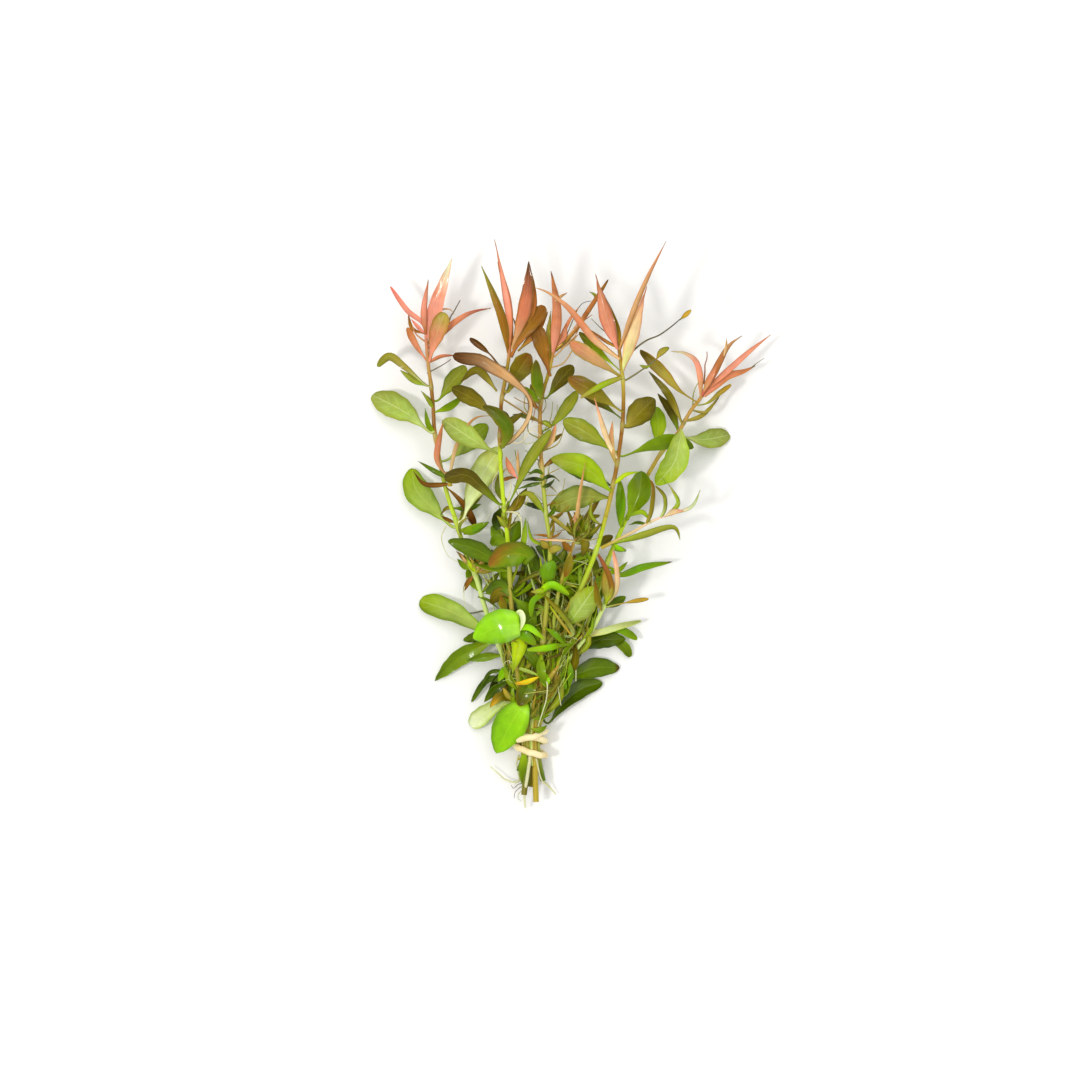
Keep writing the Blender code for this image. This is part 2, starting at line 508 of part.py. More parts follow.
def leaf_mesh(spec):
    # A thin blade with a raised middle: edge, upper middle, edge, lower middle at each station
    curve = smooth([place(p) for p in spec["route"]])
    length = lengths_along(curve)[-1]
    narrow = spec["width"] <= NARROW_WIDTH
    stations = NARROW_STATIONS if narrow else BROAD_STATIONS
    thickness = NEEDLE_THICKNESS if narrow else LEAF_THICKNESS
    roll = radians(spec["roll"])
    fold = radians(spec["fold"])
    half = 0.5 * spec["width"] * MM / cos(roll)
    rings = []
    for t, (centre, along, side) in zip(stations, stations_on(curve, [t * length for t in stations])):
        if t == 1:
            rings.append([centre])
            continue
        up = side.cross(along)
        right = side * cos(roll) + up * sin(roll)
        top = up * cos(roll) - side * sin(roll)
        reach = half * leaf_width(spec["form"], t)
        lift = top * reach * sin(fold)
        body = 0.5 * thickness * (1 - 0.5 * t)
        rings.append([
            centre - right * reach + lift,
            centre - top * body,
            centre + right * reach + lift,
            centre + top * body,
        ])
    return add_rings(rings, pointed=True)


def tube_mesh(curve, distances, radii, sides):
    rings = []
    for radius, (centre, along, side) in zip(radii, stations_on(curve, distances)):
        up = side.cross(along)
        rings.append([
            centre + radius * (side * cos(2 * pi * k / sides) + up * sin(2 * pi * k / sides))
            for k in range(sides)
        ])
    return add_rings(rings)


def root_mesh(route):
    curve = smooth([place(p) for p in route])
    length = lengths_along(curve)[-1]
    distances = [s * length for s in ROOT_STATIONS]
    radii = [ROOT_RADIUS * (1 - 0.5 * s) for s in ROOT_STATIONS]
    return tube_mesh(curve, distances, radii, ROOT_SIDES)


def distance_at_row(curve, row):
    # How far along a stem it crosses a row of the plan
    level = (PLAN_CENTRE[1] - row) * PLAN_POINT
    total = lengths_along(curve)
    nearest = min(range(len(curve)), key=lambda i: abs(curve[i].y - level))
    return total[nearest]


def stem_part(curve, joints, start, end, thin=1.0):
    # The stem from one distance to another, with a ring at and beside each swollen joint
    length = lengths_along(curve)[-1]
    swells = [distance_at_row(curve, row) for row in joints]
    count = max(1, round((end - start) / RING_SPACING))
    spaced = [start + (end - start) * i / count for i in range(1, count)]
    for s in swells:
        spaced += [s - JOINT_LENGTH, s, s + JOINT_LENGTH]
    distances = [start]
    for d in sorted(spaced):
        if distances[-1] + RING_MINIMUM < d < end - RING_MINIMUM:
            distances.append(d)
    distances.append(end)
    radii = []
    for d in distances:
        taper = STEM_RADIUS + (STEM_TIP_RADIUS - STEM_RADIUS) * d / length
        swell = sum(exp(-((d - s) / JOINT_LENGTH) ** 2) for s in swells)
        radii.append(thin * taper * (1 + JOINT_SWELL * swell))
    return tube_mesh(curve, distances, radii, STEM_SIDES)


def fuse(carrier, added):
    # Joins a small solid to the piece that it grows from
    tool = make_object("joined", added, "stem")
    union = carrier.modifiers.new("grown_on", "BOOLEAN")
    union.operation = "UNION"
    union.solver = "EXACT"
    union.object = tool
    bpy.context.view_layer.update()
    seen = carrier.evaluated_get(bpy.context.evaluated_depsgraph_get())
    joined = bpy.data.meshes.new_from_object(seen)
    carrier.modifiers.clear()
    old = carrier.data
    carrier.data = joined
    bpy.data.meshes.remove(old)
    bpy.data.objects.remove(tool)


def finish_carrier(carrier, node):
    for spec in FUSED_LEAVES.get(node, ()):
        fuse(carrier, leaf_mesh(spec))
    for route in ROOTS.get(node, ()):
        fuse(carrier, root_mesh(route))


def long_stem(name, spec):
    curve = smooth([place(p) for p in spec["route"]])
    length = lengths_along(curve)[-1]
    cut = distance_at_row(curve, spec["tip"])
    parts = (
        ("stem_" + name, 0.0, cut - 0.5 * GAP, "stem"),
        ("tip_" + name, cut + 0.5 * GAP, length, "pink"),
    )
    for node, start, end, colour in parts:
        made = make_object(node, stem_part(curve, spec["joints"], start, end), colour)
        finish_carrier(made, node)


def short_shoot(node, spec):
    curve = smooth([place(p) for p in spec["route"]])
    length = lengths_along(curve)[-1]
    body = stem_part(curve, spec["joints"], 0.0, length, spec["thin"])
    finish_carrier(make_object(node, body, "stem"), node)


def band():
    axis = Vector(((BUNDLE_ACROSS - PLAN_CENTRE[0]) * PLAN_POINT,
                   (PLAN_CENTRE[1] - BUNDLE_DOWN) * PLAN_POINT,
                   BUNDLE_HEIGHT))
    way = []
    turn = BAND_WAY[-1][0] + BAND_CLOSING
    for degrees, along, lift in BAND_WAY:
        way.append(Vector((degrees / turn, along * MM, lift * MM)))
    points = []
    rings = BAND_TURNS * BAND_RINGS_PER_TURN
    for i in range(rings):
        angle = i * turn / rings
        points.append(band_point(axis, angle, way, turn))
    frames = []
    for i, centre in enumerate(points):
        along = (points[(i + 1) % rings] - points[i - 1]).normalized()
        outward = centre - axis
        outward.y = 0
        outward.normalize()
        side = along.cross(outward).normalized()
        frames.append((centre, outward, side))
    sections = []
    for centre, outward, side in frames:
        sections.append([
            centre + BAND_RADIUS * (side * cos(2 * pi * k / BAND_SIDES)
                                    + outward * sin(2 * pi * k / BAND_SIDES))
            for k in range(BAND_SIDES)
        ])
    make_object("rubber_band", add_rings(sections, closed=True), "rubber")


def band_point(axis, angle, way, turn):
    # Between the two nearest points of the way, eased at both
    wanted = angle / turn
    for i, here in enumerate(way):
        after = way[(i + 1) % len(way)]
        end = after.x if after.x > here.x else 1.0
        if here.x <= wanted < end:
            share = (wanted - here.x) / (end - here.x)
            eased = share * share * (3 - 2 * share)
            along = here.y + (after.y - here.y) * eased
            lift = here.z + (after.z - here.z) * eased
    radius = BUNDLE_RADIUS + BAND_RADIUS + lift
    around = radians(angle)
    return axis + Vector((radius * cos(around), along, radius * sin(around)))


def main():
    for old in list(bpy.data.objects):
        bpy.data.objects.remove(old)
    for name, spec in STEMS.items():
        long_stem(name, spec)
    for node, spec in SHORT_SHOOTS.items():
        short_shoot(node, spec)
    for name, spec in LEAVES.items():
        make_object(name, leaf_mesh(spec), spec["colour"])
    band()


main()
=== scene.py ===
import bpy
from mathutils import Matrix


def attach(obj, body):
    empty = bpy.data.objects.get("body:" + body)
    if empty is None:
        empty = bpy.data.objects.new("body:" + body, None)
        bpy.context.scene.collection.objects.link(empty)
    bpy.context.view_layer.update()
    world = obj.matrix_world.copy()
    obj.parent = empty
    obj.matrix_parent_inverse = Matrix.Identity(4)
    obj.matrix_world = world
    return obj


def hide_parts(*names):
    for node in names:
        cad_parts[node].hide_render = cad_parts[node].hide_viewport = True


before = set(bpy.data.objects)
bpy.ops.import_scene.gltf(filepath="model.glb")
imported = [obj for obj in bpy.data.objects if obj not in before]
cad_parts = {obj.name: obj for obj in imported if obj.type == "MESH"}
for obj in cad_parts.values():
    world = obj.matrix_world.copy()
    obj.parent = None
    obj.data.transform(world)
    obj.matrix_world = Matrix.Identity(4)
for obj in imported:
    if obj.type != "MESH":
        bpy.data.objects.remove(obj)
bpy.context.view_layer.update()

from itertools import count
from math import atan2, cos, exp, pi, radians, sin
from random import Random

import bmesh
import bpy
from mathutils import Vector

# A bunch of needle leaf ludwigia, lying down and seen from above.
# The plan is drawn in plan points, and a place is (across, down, height in mm).
mm = 0.001
plan = {"point": 0.42 * mm, "centre": (570.5, 527.0), "curveSteps": 12}
bpy.ops.object.select_all(action="DESELECT")


def place(point):
    across, down, height = point
    return Vector((
        (across - plan["centre"][0]) * plan["point"],
        (plan["centre"][1] - down) * plan["point"],
        height * mm,
    ))


def smoothWay(knots):
    # A rounded line through the knots, as many short runs
    last = len(knots) - 1
    way = []
    for i in range(last):
        a, b, c, d = [knots[min(max(i + k, 0), last)] for k in (-1, 0, 1, 2)]
        for s in range(plan["curveSteps"]):
            t = s / plan["curveSteps"]
            way.append(0.5 * (2 * b + (c - a) * t + (2 * a - 5 * b + 4 * c - d) * t * t
                              + (3 * b - a - 3 * c + d) * t ** 3))
    way.append(knots[last].copy())
    return way


def wayLengths(way):
    total = [0.0]
    for a, b in zip(way, way[1:]):
        total.append(total[-1] + (b - a).length)
    return total


def ease(low, high, value):
    t = min(max((value - low) / (high - low), 0.0), 1.0)
    return t * t * (3 - 2 * t)


def blend(a, b, t):
    return tuple(x + (y - x) * t for x, y in zip(a, b))


def colourAlong(stops, t):
    # stops: (share, colour) pairs in order
    for (t0, c0), (t1, c1) in zip(stops, stops[1:]):
        if t <= t1:
            return blend(c0, c1, ease(t0, t1, t))
    return stops[-1][1]


# Colours, as a paint program gives them
def paint(*rgb):
    return tuple(((c / 255 + 0.055) / 1.055) ** 2.4 for c in rgb)


paints = {
    "milk": paint(224, 234, 186),
    "cream": paint(242, 230, 184),
    "veryPale": paint(206, 220, 140),
    "pale": paint(184, 202, 98),
    "paleGreen": paint(162, 187, 80),
    "greyGreen": paint(150, 162, 72),
    "greyLight": paint(194, 206, 152),
    "lime": paint(190, 216, 10),
    "yellow": paint(230, 208, 14),
    "amber": paint(228, 172, 24),
    "vivid": paint(142, 208, 0),
    "vividLight": paint(176, 234, 40),
    "grass": paint(104, 156, 0),
    "fresh": paint(146, 176, 14),
    "leaf": paint(112, 142, 2),
    "moss": paint(88, 114, 0),
    "deep": paint(66, 90, 0),
    "night": paint(36, 44, 2),
    "oliveGreen": paint(138, 144, 36),
    "olive": paint(120, 110, 10),
    "oliveDark": paint(84, 76, 2),
    "khaki": paint(166, 152, 56),
    "gold": paint(188, 152, 40),
    "umber": paint(80, 46, 2),
    "brown": paint(122, 78, 10),
    "bronze": paint(148, 102, 24),
    "copper": paint(184, 114, 58),
    "brick": paint(160, 84, 54),
    "terracotta": paint(200, 114, 76),
    "salmon": paint(208, 132, 94),
    "pink": paint(230, 148, 122),
    "rose": paint(226, 116, 98),
    "blush": paint(250, 210, 186),
    "tan": paint(206, 160, 106),
    "paleTan": paint(228, 198, 144),
    "grey": paint(100, 98, 72),
    "twigDark": paint(66, 60, 46),
    "maroon": paint(140, 62, 52),
    "stemLime": paint(186, 214, 24),
    "stemGreen": paint(172, 184, 60),
    "stemPale": paint(204, 224, 128),
    "stemGold": paint(182, 160, 42),
    "stemTan": paint(186, 144, 66),
    "stemRust": paint(150, 98, 22),
    "root": paint(226, 228, 182),
    "rootYellow": paint(200, 204, 92),
    "rubber": paint(252, 238, 186),
    "rubberShade": paint(240, 218, 160),
}

# A leaf's colours, which are foot, middle, tip, veins and edge, and its finish. The edge colour is partly
# the margin's own colour and partly painted shade
leafLooks = {
    "under": ("veryPale", "paleGreen", "greyGreen", "veryPale", "oliveGreen", "under"),
    "underGreen": ("pale", "paleGreen", "fresh", "pale", "leaf", "under"),
    "underBrowned": ("milk", "veryPale", "pale", "milk", "oliveGreen", "under"),
    "freshPale": ("pale", "paleGreen", "fresh", "veryPale", "fresh", "under"),
    "raggedPale": ("pale", "veryPale", "milk", "milk", "fresh", "under"),
    "greyGreen": ("oliveGreen", "greyGreen", "oliveGreen", "pale", "moss", "satin"),
    "vividGloss": ("vividLight", "vivid", "vivid", "vividLight", "grass", "wet"),
    "vivid": ("lime", "vivid", "fresh", "vividLight", "grass", "gloss"),
    "brightGreen": ("fresh", "grass", "leaf", "fresh", "leaf", "gloss"),
    "emerald": ("leaf", "grass", "grass", "fresh", "moss", "gloss"),
    "freshGreen": ("fresh", "fresh", "leaf", "pale", "leaf", "satin"),
    "green": ("fresh", "leaf", "moss", "fresh", "leaf", "gloss"),
    "deepGreen": ("leaf", "moss", "moss", "fresh", "deep", "gloss"),
    "darkGreen": ("moss", "deep", "moss", "oliveGreen", "deep", "gloss"),
    "nightGreen": ("moss", "night", "deep", "moss", "night", "gloss"),
    "deepOlive": ("oliveGreen", "moss", "oliveDark", "oliveGreen", "olive", "gloss"),
    "darkOlive": ("leaf", "oliveDark", "oliveDark", "khaki", "oliveDark", "satin"),
    "olive": ("khaki", "olive", "oliveDark", "khaki", "oliveDark", "satin"),
    "oliveCurl": ("veryPale", "khaki", "oliveGreen", "veryPale", "olive", "satin"),
    "oliveGreen": ("fresh", "oliveGreen", "oliveGreen", "pale", "moss", "satin"),
    "oliveBrown": ("khaki", "olive", "brown", "khaki", "olive", "satin"),
    "oliveYellow": ("khaki", "fresh", "khaki", "cream", "olive", "satin"),
    "oliveGold": ("gold", "khaki", "oliveGreen", "gold", "oliveDark", "satin"),
    "oliveStalk": ("khaki", "khaki", "olive", "paleTan", "olive", "satin"),
    "yellowGreen": ("lime", "lime", "fresh", "veryPale", "fresh", "gloss"),
    "yellowEdge": ("amber", "yellow", "yellow", "cream", "amber", "satin"),
    "yellowTip": ("bronze", "olive", "amber", "gold", "olive", "satin"),
    "halfBrown": ("grass", "leaf", "bronze", "gold", "moss", "gloss"),
    "maroonBlade": ("paleTan", "tan", "umber", "copper", "umber", "gloss"),
    "darkBrown": ("bronze", "brown", "umber", "copper", "umber", "satin"),
    "bronze": ("copper", "bronze", "brown", "copper", "brown", "satin"),
    "goldenBrown": ("gold", "olive", "bronze", "gold", "brown", "satin"),
    "redBlade": ("tan", "terracotta", "umber", "pink", "brown", "wet"),
    "redPink": ("tan", "salmon", "copper", "blush", "copper", "wet"),
    "salmonRed": ("pink", "salmon", "copper", "blush", "brick", "wet"),
    "salmonTan": ("pink", "salmon", "copper", "paleTan", "copper", "wet"),
    "pinkNeedle": ("copper", "pink", "salmon", "blush", "brick", "wet"),
    "wetPink": ("pink", "pink", "milk", "blush", "pink", "wet"),
    "tanSpoon": ("pink", "salmon", "khaki", "paleTan", "bronze", "satin"),
    "goldenGreen": ("bronze", "bronze", "oliveGreen", "gold", "olive", "satin"),
    "pinkTan": ("tan", "tan", "salmon", "blush", "copper", "satin"),
    "tanPink": ("khaki", "tan", "salmon", "paleTan", "khaki", "satin"),
    "milkCurl": ("pale", "milk", "veryPale", "milk", "pale", "gloss"),
    "brownStrap": ("gold", "bronze", "brick", "tan", "brown", "satin"),
    "palePink": ("cream", "paleTan", "pink", "cream", "tan", "satin"),
    "paleGrey": ("blush", "greyLight", "greyGreen", "milk", "greyGreen", "satin"),
    "pinkYellow": ("veryPale", "paleTan", "pink", "cream", "salmon", "satin"),
    "tan": ("paleTan", "tan", "copper", "paleTan", "khaki", "satin"),
    "greyDark": ("khaki", "grey", "khaki", "tan", "grey", "satin"),
    "pinkStrap": ("pink", "pink", "rose", "blush", "rose", "wet"),
    "salmonTip": ("salmon", "salmon", "maroon", "blush", "copper", "wet"),
    "salmonStrap": ("salmon", "pink", "salmon", "blush", "copper", "wet"),
    "tanArch": ("paleTan", "salmon", "tan", "blush", "copper", "wet"),
    "copperRed": ("rose", "copper", "tan", "salmon", "brown", "satin"),
    "copper": ("gold", "copper", "bronze", "tan", "brown", "satin"),
    "pinkCurl": ("tan", "pink", "greyLight", "blush", "copper", "wet"),
    "oliveTan": ("khaki", "khaki", "oliveDark", "tan", "bronze", "satin"),
    "greyUnder": ("greyGreen", "paleGreen", "greyGreen", "veryPale", "oliveGreen", "under"),
    "oliveTipped": ("lime", "fresh", "oliveDark", "pale", "olive", "satin"),
    "goldTip": ("olive", "gold", "gold", "paleTan", "olive", "satin"),
    "khakiSmall": ("stemGreen", "khaki", "gold", "veryPale", "olive", "satin"),
    "paleStalk": ("paleTan", "veryPale", "greyGreen", "milk", "pale", "under"),
    "oliveStrap": ("stemPale", "oliveGreen", "olive", "khaki", "oliveDark", "satin"),
    "orangeTip": ("stemPale", "gold", "gold", "paleTan", "olive", "satin"),
    "limeStrap": ("stemLime", "khaki", "gold", "stemPale", "olive", "satin"),
    "limeLeaf": ("fresh", "fresh", "oliveGreen", "pale", "leaf", "gloss"),
    "limeUnder": ("fresh", "paleGreen", "fresh", "veryPale", "oliveGreen", "under"),
}

finishes = {
    "under": {"roughness": 0.55, "shine": 0.10, "coat": 0.03, "coatRoughness": 0.35,
              "veins": 8, "veinShow": 0.5, "relief": 0.4},
    "satin": {"roughness": 0.45, "shine": 0.09, "coat": 0.06, "coatRoughness": 0.22,
              "veins": 7, "veinShow": 0.28, "relief": -0.4},
    "gloss": {"roughness": 0.34, "shine": 0.09, "coat": 0.15, "coatRoughness": 0.09,
              "veins": 7, "veinShow": 0.22, "relief": -0.3},
    "wet": {"roughness": 0.30, "shine": 0.12, "coat": 0.30, "coatRoughness": 0.09,
            "veins": 6, "veinShow": 0.22, "relief": -0.3},
    "narrow": {"roughness": 0.40, "shine": 0.09, "coat": 0.10, "coatRoughness": 0.12,
               "veins": 0, "veinShow": 0.3, "relief": -0.3},
}


# Material pieces
def newMaterial(name, look):
    material = bpy.data.materials.new(name)
    material.use_nodes = True
    surface = material.node_tree.nodes["Principled BSDF"]
    surface.inputs["Roughness"].default_value = look["roughness"]
    surface.inputs["Specular IOR Level"].default_value = look["shine"]
    surface.inputs["Coat Weight"].default_value = look["coat"]
    surface.inputs["Coat Roughness"].default_value = look["coatRoughness"]
    return material, surface


def addNode(material, kind, **settings):
    node = material.node_tree.nodes.new(kind)
    for name, value in settings.items():
        setattr(node, name, value)
    return node


def plug(material, socket, value):
    if isinstance(value, bpy.types.NodeSocket):
        material.node_tree.links.new(value, socket)
    else:
        socket.default_value = value


def maths(material, operation, first, second=0.0, third=0.0):
    node = addNode(material, "ShaderNodeMath", operation=operation)
    for socket, value in zip(node.inputs, (first, second, third)):
        plug(material, socket, value)
    return node.outputs[0]


def step(material, value, low, high):
    # Nought below low, one above high, smooth between
    node = addNode(material, "ShaderNodeMapRange", interpolation_type="SMOOTHSTEP")
    plug(material, node.inputs["Value"], value)
    node.inputs["From Min"].default_value = low
    node.inputs["From Max"].default_value = high
    return node.outputs["Result"]


def mixColour(material, share, first, second, method="MIX"):
    node = addNode(material, "ShaderNodeMix", data_type="RGBA", blend_type=method)
    plug(material, node.inputs["Factor"], share)
    plug(material, node.inputs[6], first)
    plug(material, node.inputs[7], second)
    return node.outputs[2]


def grain(material, scale, detail=2.0, vector=None):
    node = addNode(material, "ShaderNodeTexNoise")
    node.inputs["Scale"].default_value = scale
    node.inputs["Detail"].default_value = detail
    if vector is None:
        vector = addNode(material, "ShaderNodeTexCoord").outputs["Object"]
    plug(material, node.inputs["Vector"], vector)
    return node.outputs["Fac"]


def attributeColour(material, name):
    return addNode(material, "ShaderNodeAttribute", attribute_name=name).outputs["Color"]


def addRelief(material, surface, height, strength, depth):
    node = addNode(material, "ShaderNodeBump")
    node.inputs["Strength"].default_value = strength
    node.inputs["Distance"].default_value = depth
    plug(material, node.inputs["Height"], height)
    plug(material, surface.inputs["Normal"], node.outputs["Normal"])


# A range is (times, plus) on a grain, and an edge is where a marking starts and where it is full
leafSkin = {
    "ribEdge": (0.02, 0.09),
    "veinSlant": 1.35, "veinShift": 0.4, "veinEdge": (0.0, 0.095), "veinStrength": 0.65,
    "veinFade": (0.45, 0.98), "veinStart": (0.12, 0.35),
    "mottle": {"scale": 260, "range": (0.5, 0.75)},
    "browned": {"scale": 120, "edge": (0.48, 0.72), "strength": 0.5, "colour": (1.06, 0.86, 0.6, 1)},
    "cells": {"scale": 2200, "range": (0.8, 0.6), "strength": 0.25, "relief": 0.08},
    "rough": {"scale": 420, "change": 0.24},
    "bump": 0.6, "bumpDepth": 0.25 * mm,
}


def leafMaterial(name, look):
    # Midrib and side veins follow the leaf's own map: along in U, across in V
    material, surface = newMaterial("leaf" + name.title(), look)
    uv = addNode(material, "ShaderNodeSeparateXYZ")
    plug(material, uv.inputs[0], addNode(material, "ShaderNodeUVMap", uv_map="UVMap").outputs["UV"])
    along, offMiddle = uv.outputs[0], maths(material, "SUBTRACT", uv.outputs[1], 0.5)
    across = maths(material, "MULTIPLY", maths(material, "ABSOLUTE", offMiddle), 2.0)
    rib = maths(material, "SUBTRACT", 1.0, step(material, across, *leafSkin["ribEdge"]))
    veins = rib
    if look["veins"]:
        slant = maths(material, "MULTIPLY", across, leafSkin["veinSlant"])
        left = maths(material, "GREATER_THAN", offMiddle, 0.0)
        left = maths(material, "MULTIPLY", left, leafSkin["veinShift"])
        phase = maths(material, "MULTIPLY_ADD", along, float(look["veins"]), left)
        saw = maths(material, "FRACT", maths(material, "SUBTRACT", phase, slant))
        ridge = maths(material, "ABSOLUTE", maths(material, "SUBTRACT", saw, 0.5))
        side = maths(material, "SUBTRACT", 1.0, step(material, ridge, *leafSkin["veinEdge"]))
        fade = maths(material, "SUBTRACT", 1.0, step(material, across, *leafSkin["veinFade"]))
        grown = step(material, along, *leafSkin["veinStart"])
        side = maths(material, "MULTIPLY", maths(material, "MULTIPLY", side, fade), grown)
        side = maths(material, "MULTIPLY", side, leafSkin["veinStrength"])
        veins = maths(material, "MAXIMUM", rib, side)
    mottle, browned, cells, rough = [leafSkin[part] for part in ("mottle", "browned", "cells", "rough")]
    tint = attributeColour(material, "tint")
    mottling = maths(material, "MULTIPLY_ADD", grain(material, mottle["scale"], 4), *mottle["range"])
    toned = mixColour(material, 1.0, tint, mottling, "MULTIPLY")
    patches = step(material, grain(material, browned["scale"], 3), *browned["edge"])
    patches = maths(material, "MULTIPLY", patches, browned["strength"])
    toned = mixColour(material, patches, toned, browned["colour"], "MULTIPLY")
    cellGrain = grain(material, cells["scale"], 2)
    cellShade = maths(material, "MULTIPLY_ADD", cellGrain, *cells["range"])
    toned = mixColour(material, cells["strength"], toned, cellShade, "MULTIPLY")
    veined = mixColour(material, maths(material, "MULTIPLY", veins, look["veinShow"]), toned,
                       attributeColour(material, "veinTint"))
    plug(material, surface.inputs["Base Color"], veined)
    least = look["roughness"] - 0.5 * rough["change"]
    roughness = maths(material, "MULTIPLY_ADD", grain(material, rough["scale"], 2), rough["change"], least)
    plug(material, surface.inputs["Roughness"], roughness)
    low = maths(material, "MULTIPLY", cellGrain, cells["relief"])
    height = maths(material, "MULTIPLY_ADD", veins, look["relief"], low)
    addRelief(material, surface, height, leafSkin["bump"], leafSkin["bumpDepth"])
    return material


stemSkin = {"roughness": 0.40, "shine": 0.2, "coat": 0.18, "coatRoughness": 0.2,
            "streaks": (26, 9, 1), "streakShow": 0.55, "streakRange": (1.1, 0.5),
            "speckScale": 330, "speckEdge": (0.62, 0.75), "bump": 0.5, "bumpDepth": 0.2 * mm}


def stemMaterial():
    material, surface = newMaterial("stemSkin", stemSkin)
    uv = addNode(material, "ShaderNodeUVMap", uv_map="UVMap").outputs["UV"]
    stretch = addNode(material, "ShaderNodeMapping")
    stretch.inputs["Scale"].default_value = stemSkin["streaks"]
    plug(material, stretch.inputs["Vector"], uv)
    streaks = grain(material, 1.0, 3, stretch.outputs[0])
    tint = mixColour(material, stemSkin["streakShow"], attributeColour(material, "tint"),
                     maths(material, "MULTIPLY_ADD", streaks, *stemSkin["streakRange"]), "MULTIPLY")
    specks = step(material, grain(material, stemSkin["speckScale"], 3), *stemSkin["speckEdge"])
    tint = mixColour(material, specks, tint, attributeColour(material, "veinTint"))
    plug(material, surface.inputs["Base Color"], tint)
    addRelief(material, surface, streaks, stemSkin["bump"], stemSkin["bumpDepth"])
    return material


bandSkin = {"roughness": 0.62, "shine": 0.3, "coat": 0.0, "coatRoughness": 0.3,
            "speckleScale": 900, "speckleShow": 0.3, "speckleRange": (0.7, 0.65),
            "wearScale": 180, "wearEdge": (0.45, 0.75), "bump": 0.35, "bumpDepth": 0.15 * mm}


def rubberMaterial():
    material, surface = newMaterial("bandRubber", bandSkin)
    speckle = grain(material, bandSkin["speckleScale"], 4)
    wear = step(material, grain(material, bandSkin["wearScale"], 3), *bandSkin["wearEdge"])
    tint = mixColour(material, wear, (*paints["rubber"], 1), (*paints["rubberShade"], 1))
    speckled = maths(material, "MULTIPLY_ADD", speckle, *bandSkin["speckleRange"])
    tint = mixColour(material, bandSkin["speckleShow"], tint, speckled, "MULTIPLY")
    plug(material, surface.inputs["Base Color"], tint)
    addRelief(material, surface, speckle, bandSkin["bump"], bandSkin["bumpDepth"])
    return material


rootSkin = {"roughness": 0.4, "shine": 0.3, "coat": 0.1, "coatRoughness": 0.3,
            "speckleScale": 700, "speckleShow": 0.5, "speckleRange": (1.0, 0.5),
            "fineScale": 1500, "bump": 0.3, "bumpDepth": 0.1 * mm}


def rootMaterial():
    material, surface = newMaterial("rootSkin", rootSkin)
    speckle = grain(material, rootSkin["speckleScale"], 3)
    tint = mixColour(material, rootSkin["speckleShow"], attributeColour(material, "tint"),
                     maths(material, "MULTIPLY_ADD", speckle, *rootSkin["speckleRange"]), "MULTIPLY")
    plug(material, surface.inputs["Base Color"], tint)
    fine = grain(material, rootSkin["fineScale"], 2)
    addRelief(material, surface, fine, rootSkin["bump"], rootSkin["bumpDepth"])
    return material


leafFinish = {name: leafMaterial(name, look) for name, look in finishes.items()}
stemFinish = stemMaterial()
rubberFinish = rubberMaterial()
rootFinish = rootMaterial()
print("finishes made")


# Shapes modelled once: one leaf blade for each form, and a round rod
bladeForms = {
    "needle": {"start": 0.0, "widest": 0.36, "taper": 0.8, "roundness": 1.05, "stalk": 0.42},
    "flame": {"start": 0.0, "widest": 0.4, "taper": 1.0, "roundness": 1.8, "stalk": 0.24},
    "paddle": {"start": 0.0, "widest": 0.76, "taper": 1.6, "roundness": 0.4, "stalk": 0.2},
    "lance": {"start": 0.0, "widest": 0.48, "taper": 1.4, "roundness": 0.82, "stalk": 0.24},
    "oval": {"start": 0.0, "widest": 0.56, "taper": 1.5, "roundness": 0.58, "stalk": 0.12},
    "spoon": {"start": 0.08, "widest": 0.68, "taper": 1.9, "roundness": 0.52, "stalk": 0.11},
    "longSpoon": {"start": 0.0, "widest": 0.8, "taper": 1.1, "roundness": 0.45, "stalk": 0.13},
    "strap": {"start": 0.0, "widest": 0.5, "taper": 0.45, "roundness": 0.42, "stalk": 0.5},
    "scarf": {"start": 0.42, "widest": 0.88, "taper": 0.6, "roundness": 0.42, "stalk": 0.36},
    "egg": {"start": 0.0, "widest": 0.46, "taper": 0.85, "roundness": 0.68, "stalk": 0.09},
    "flag": {"start": 0.0, "widest": 0.12, "taper": 0.4, "roundness": 1.2, "stalk": 0.3},
    "tailed": {"start": 0.5, "widest": 0.8, "taper": 0.7, "roundness": 0.42, "stalk": 0.3},
}
bladeGrid = {"rows": 34, "columns": 10, "smallRows": 9, "smallColumns": 2, "endCrowding": 0.5,
             "leastWidth": 0.002}
# Shares of the full thickness: the stalk is full, the midrib a little less and the edges are thin
bladeBody = {"stalk": 1.0, "rib": 0.8, "ribFrom": (0, 0.4), "ribThins": 0.6, "edge": 0.25,
             "edgeThins": 0.3, "stalkEnds": (0.05, 0.35), "ribWidth": 0.22, "stalkWidth": 0.6}
narrowWidth = 4.3


def bladeWidth(form, t):
    # taper: how long the narrow foot is; roundness: small for a blunt tip, one or more for a sharp one
    shape = bladeForms[form]
    start, widest = shape["start"], shape["widest"]
    if t < widest:
        blade = sin(0.5 * pi * max(t - start, 0.0) / (widest - start)) ** shape["taper"]
    else:
        blade = max(cos(0.5 * pi * (t - widest) / (1 - widest)), 0.0) ** shape["roundness"]
    foot = shape["stalk"] * (1 - t) ** 0.5
    return (blade ** 3 + foot ** 3) ** (1 / 3)


def activate(piece):
    bpy.ops.object.select_all(action="DESELECT")
    piece.select_set(True)
    bpy.context.view_layer.objects.active = piece


def applyModifiers(piece):
    bpy.context.view_layer.objects.active = piece
    for modifier in list(piece.modifiers):
        bpy.ops.object.modifier_apply(modifier=modifier.name)


def selectRow(piece, level, reach):
    mesh = bmesh.from_edit_mesh(piece.data)
    for vert in mesh.verts:
        vert.select_set(abs(vert.co.x - level) < reach)
    mesh.select_flush(True)
    bmesh.update_edit_mesh(piece.data)


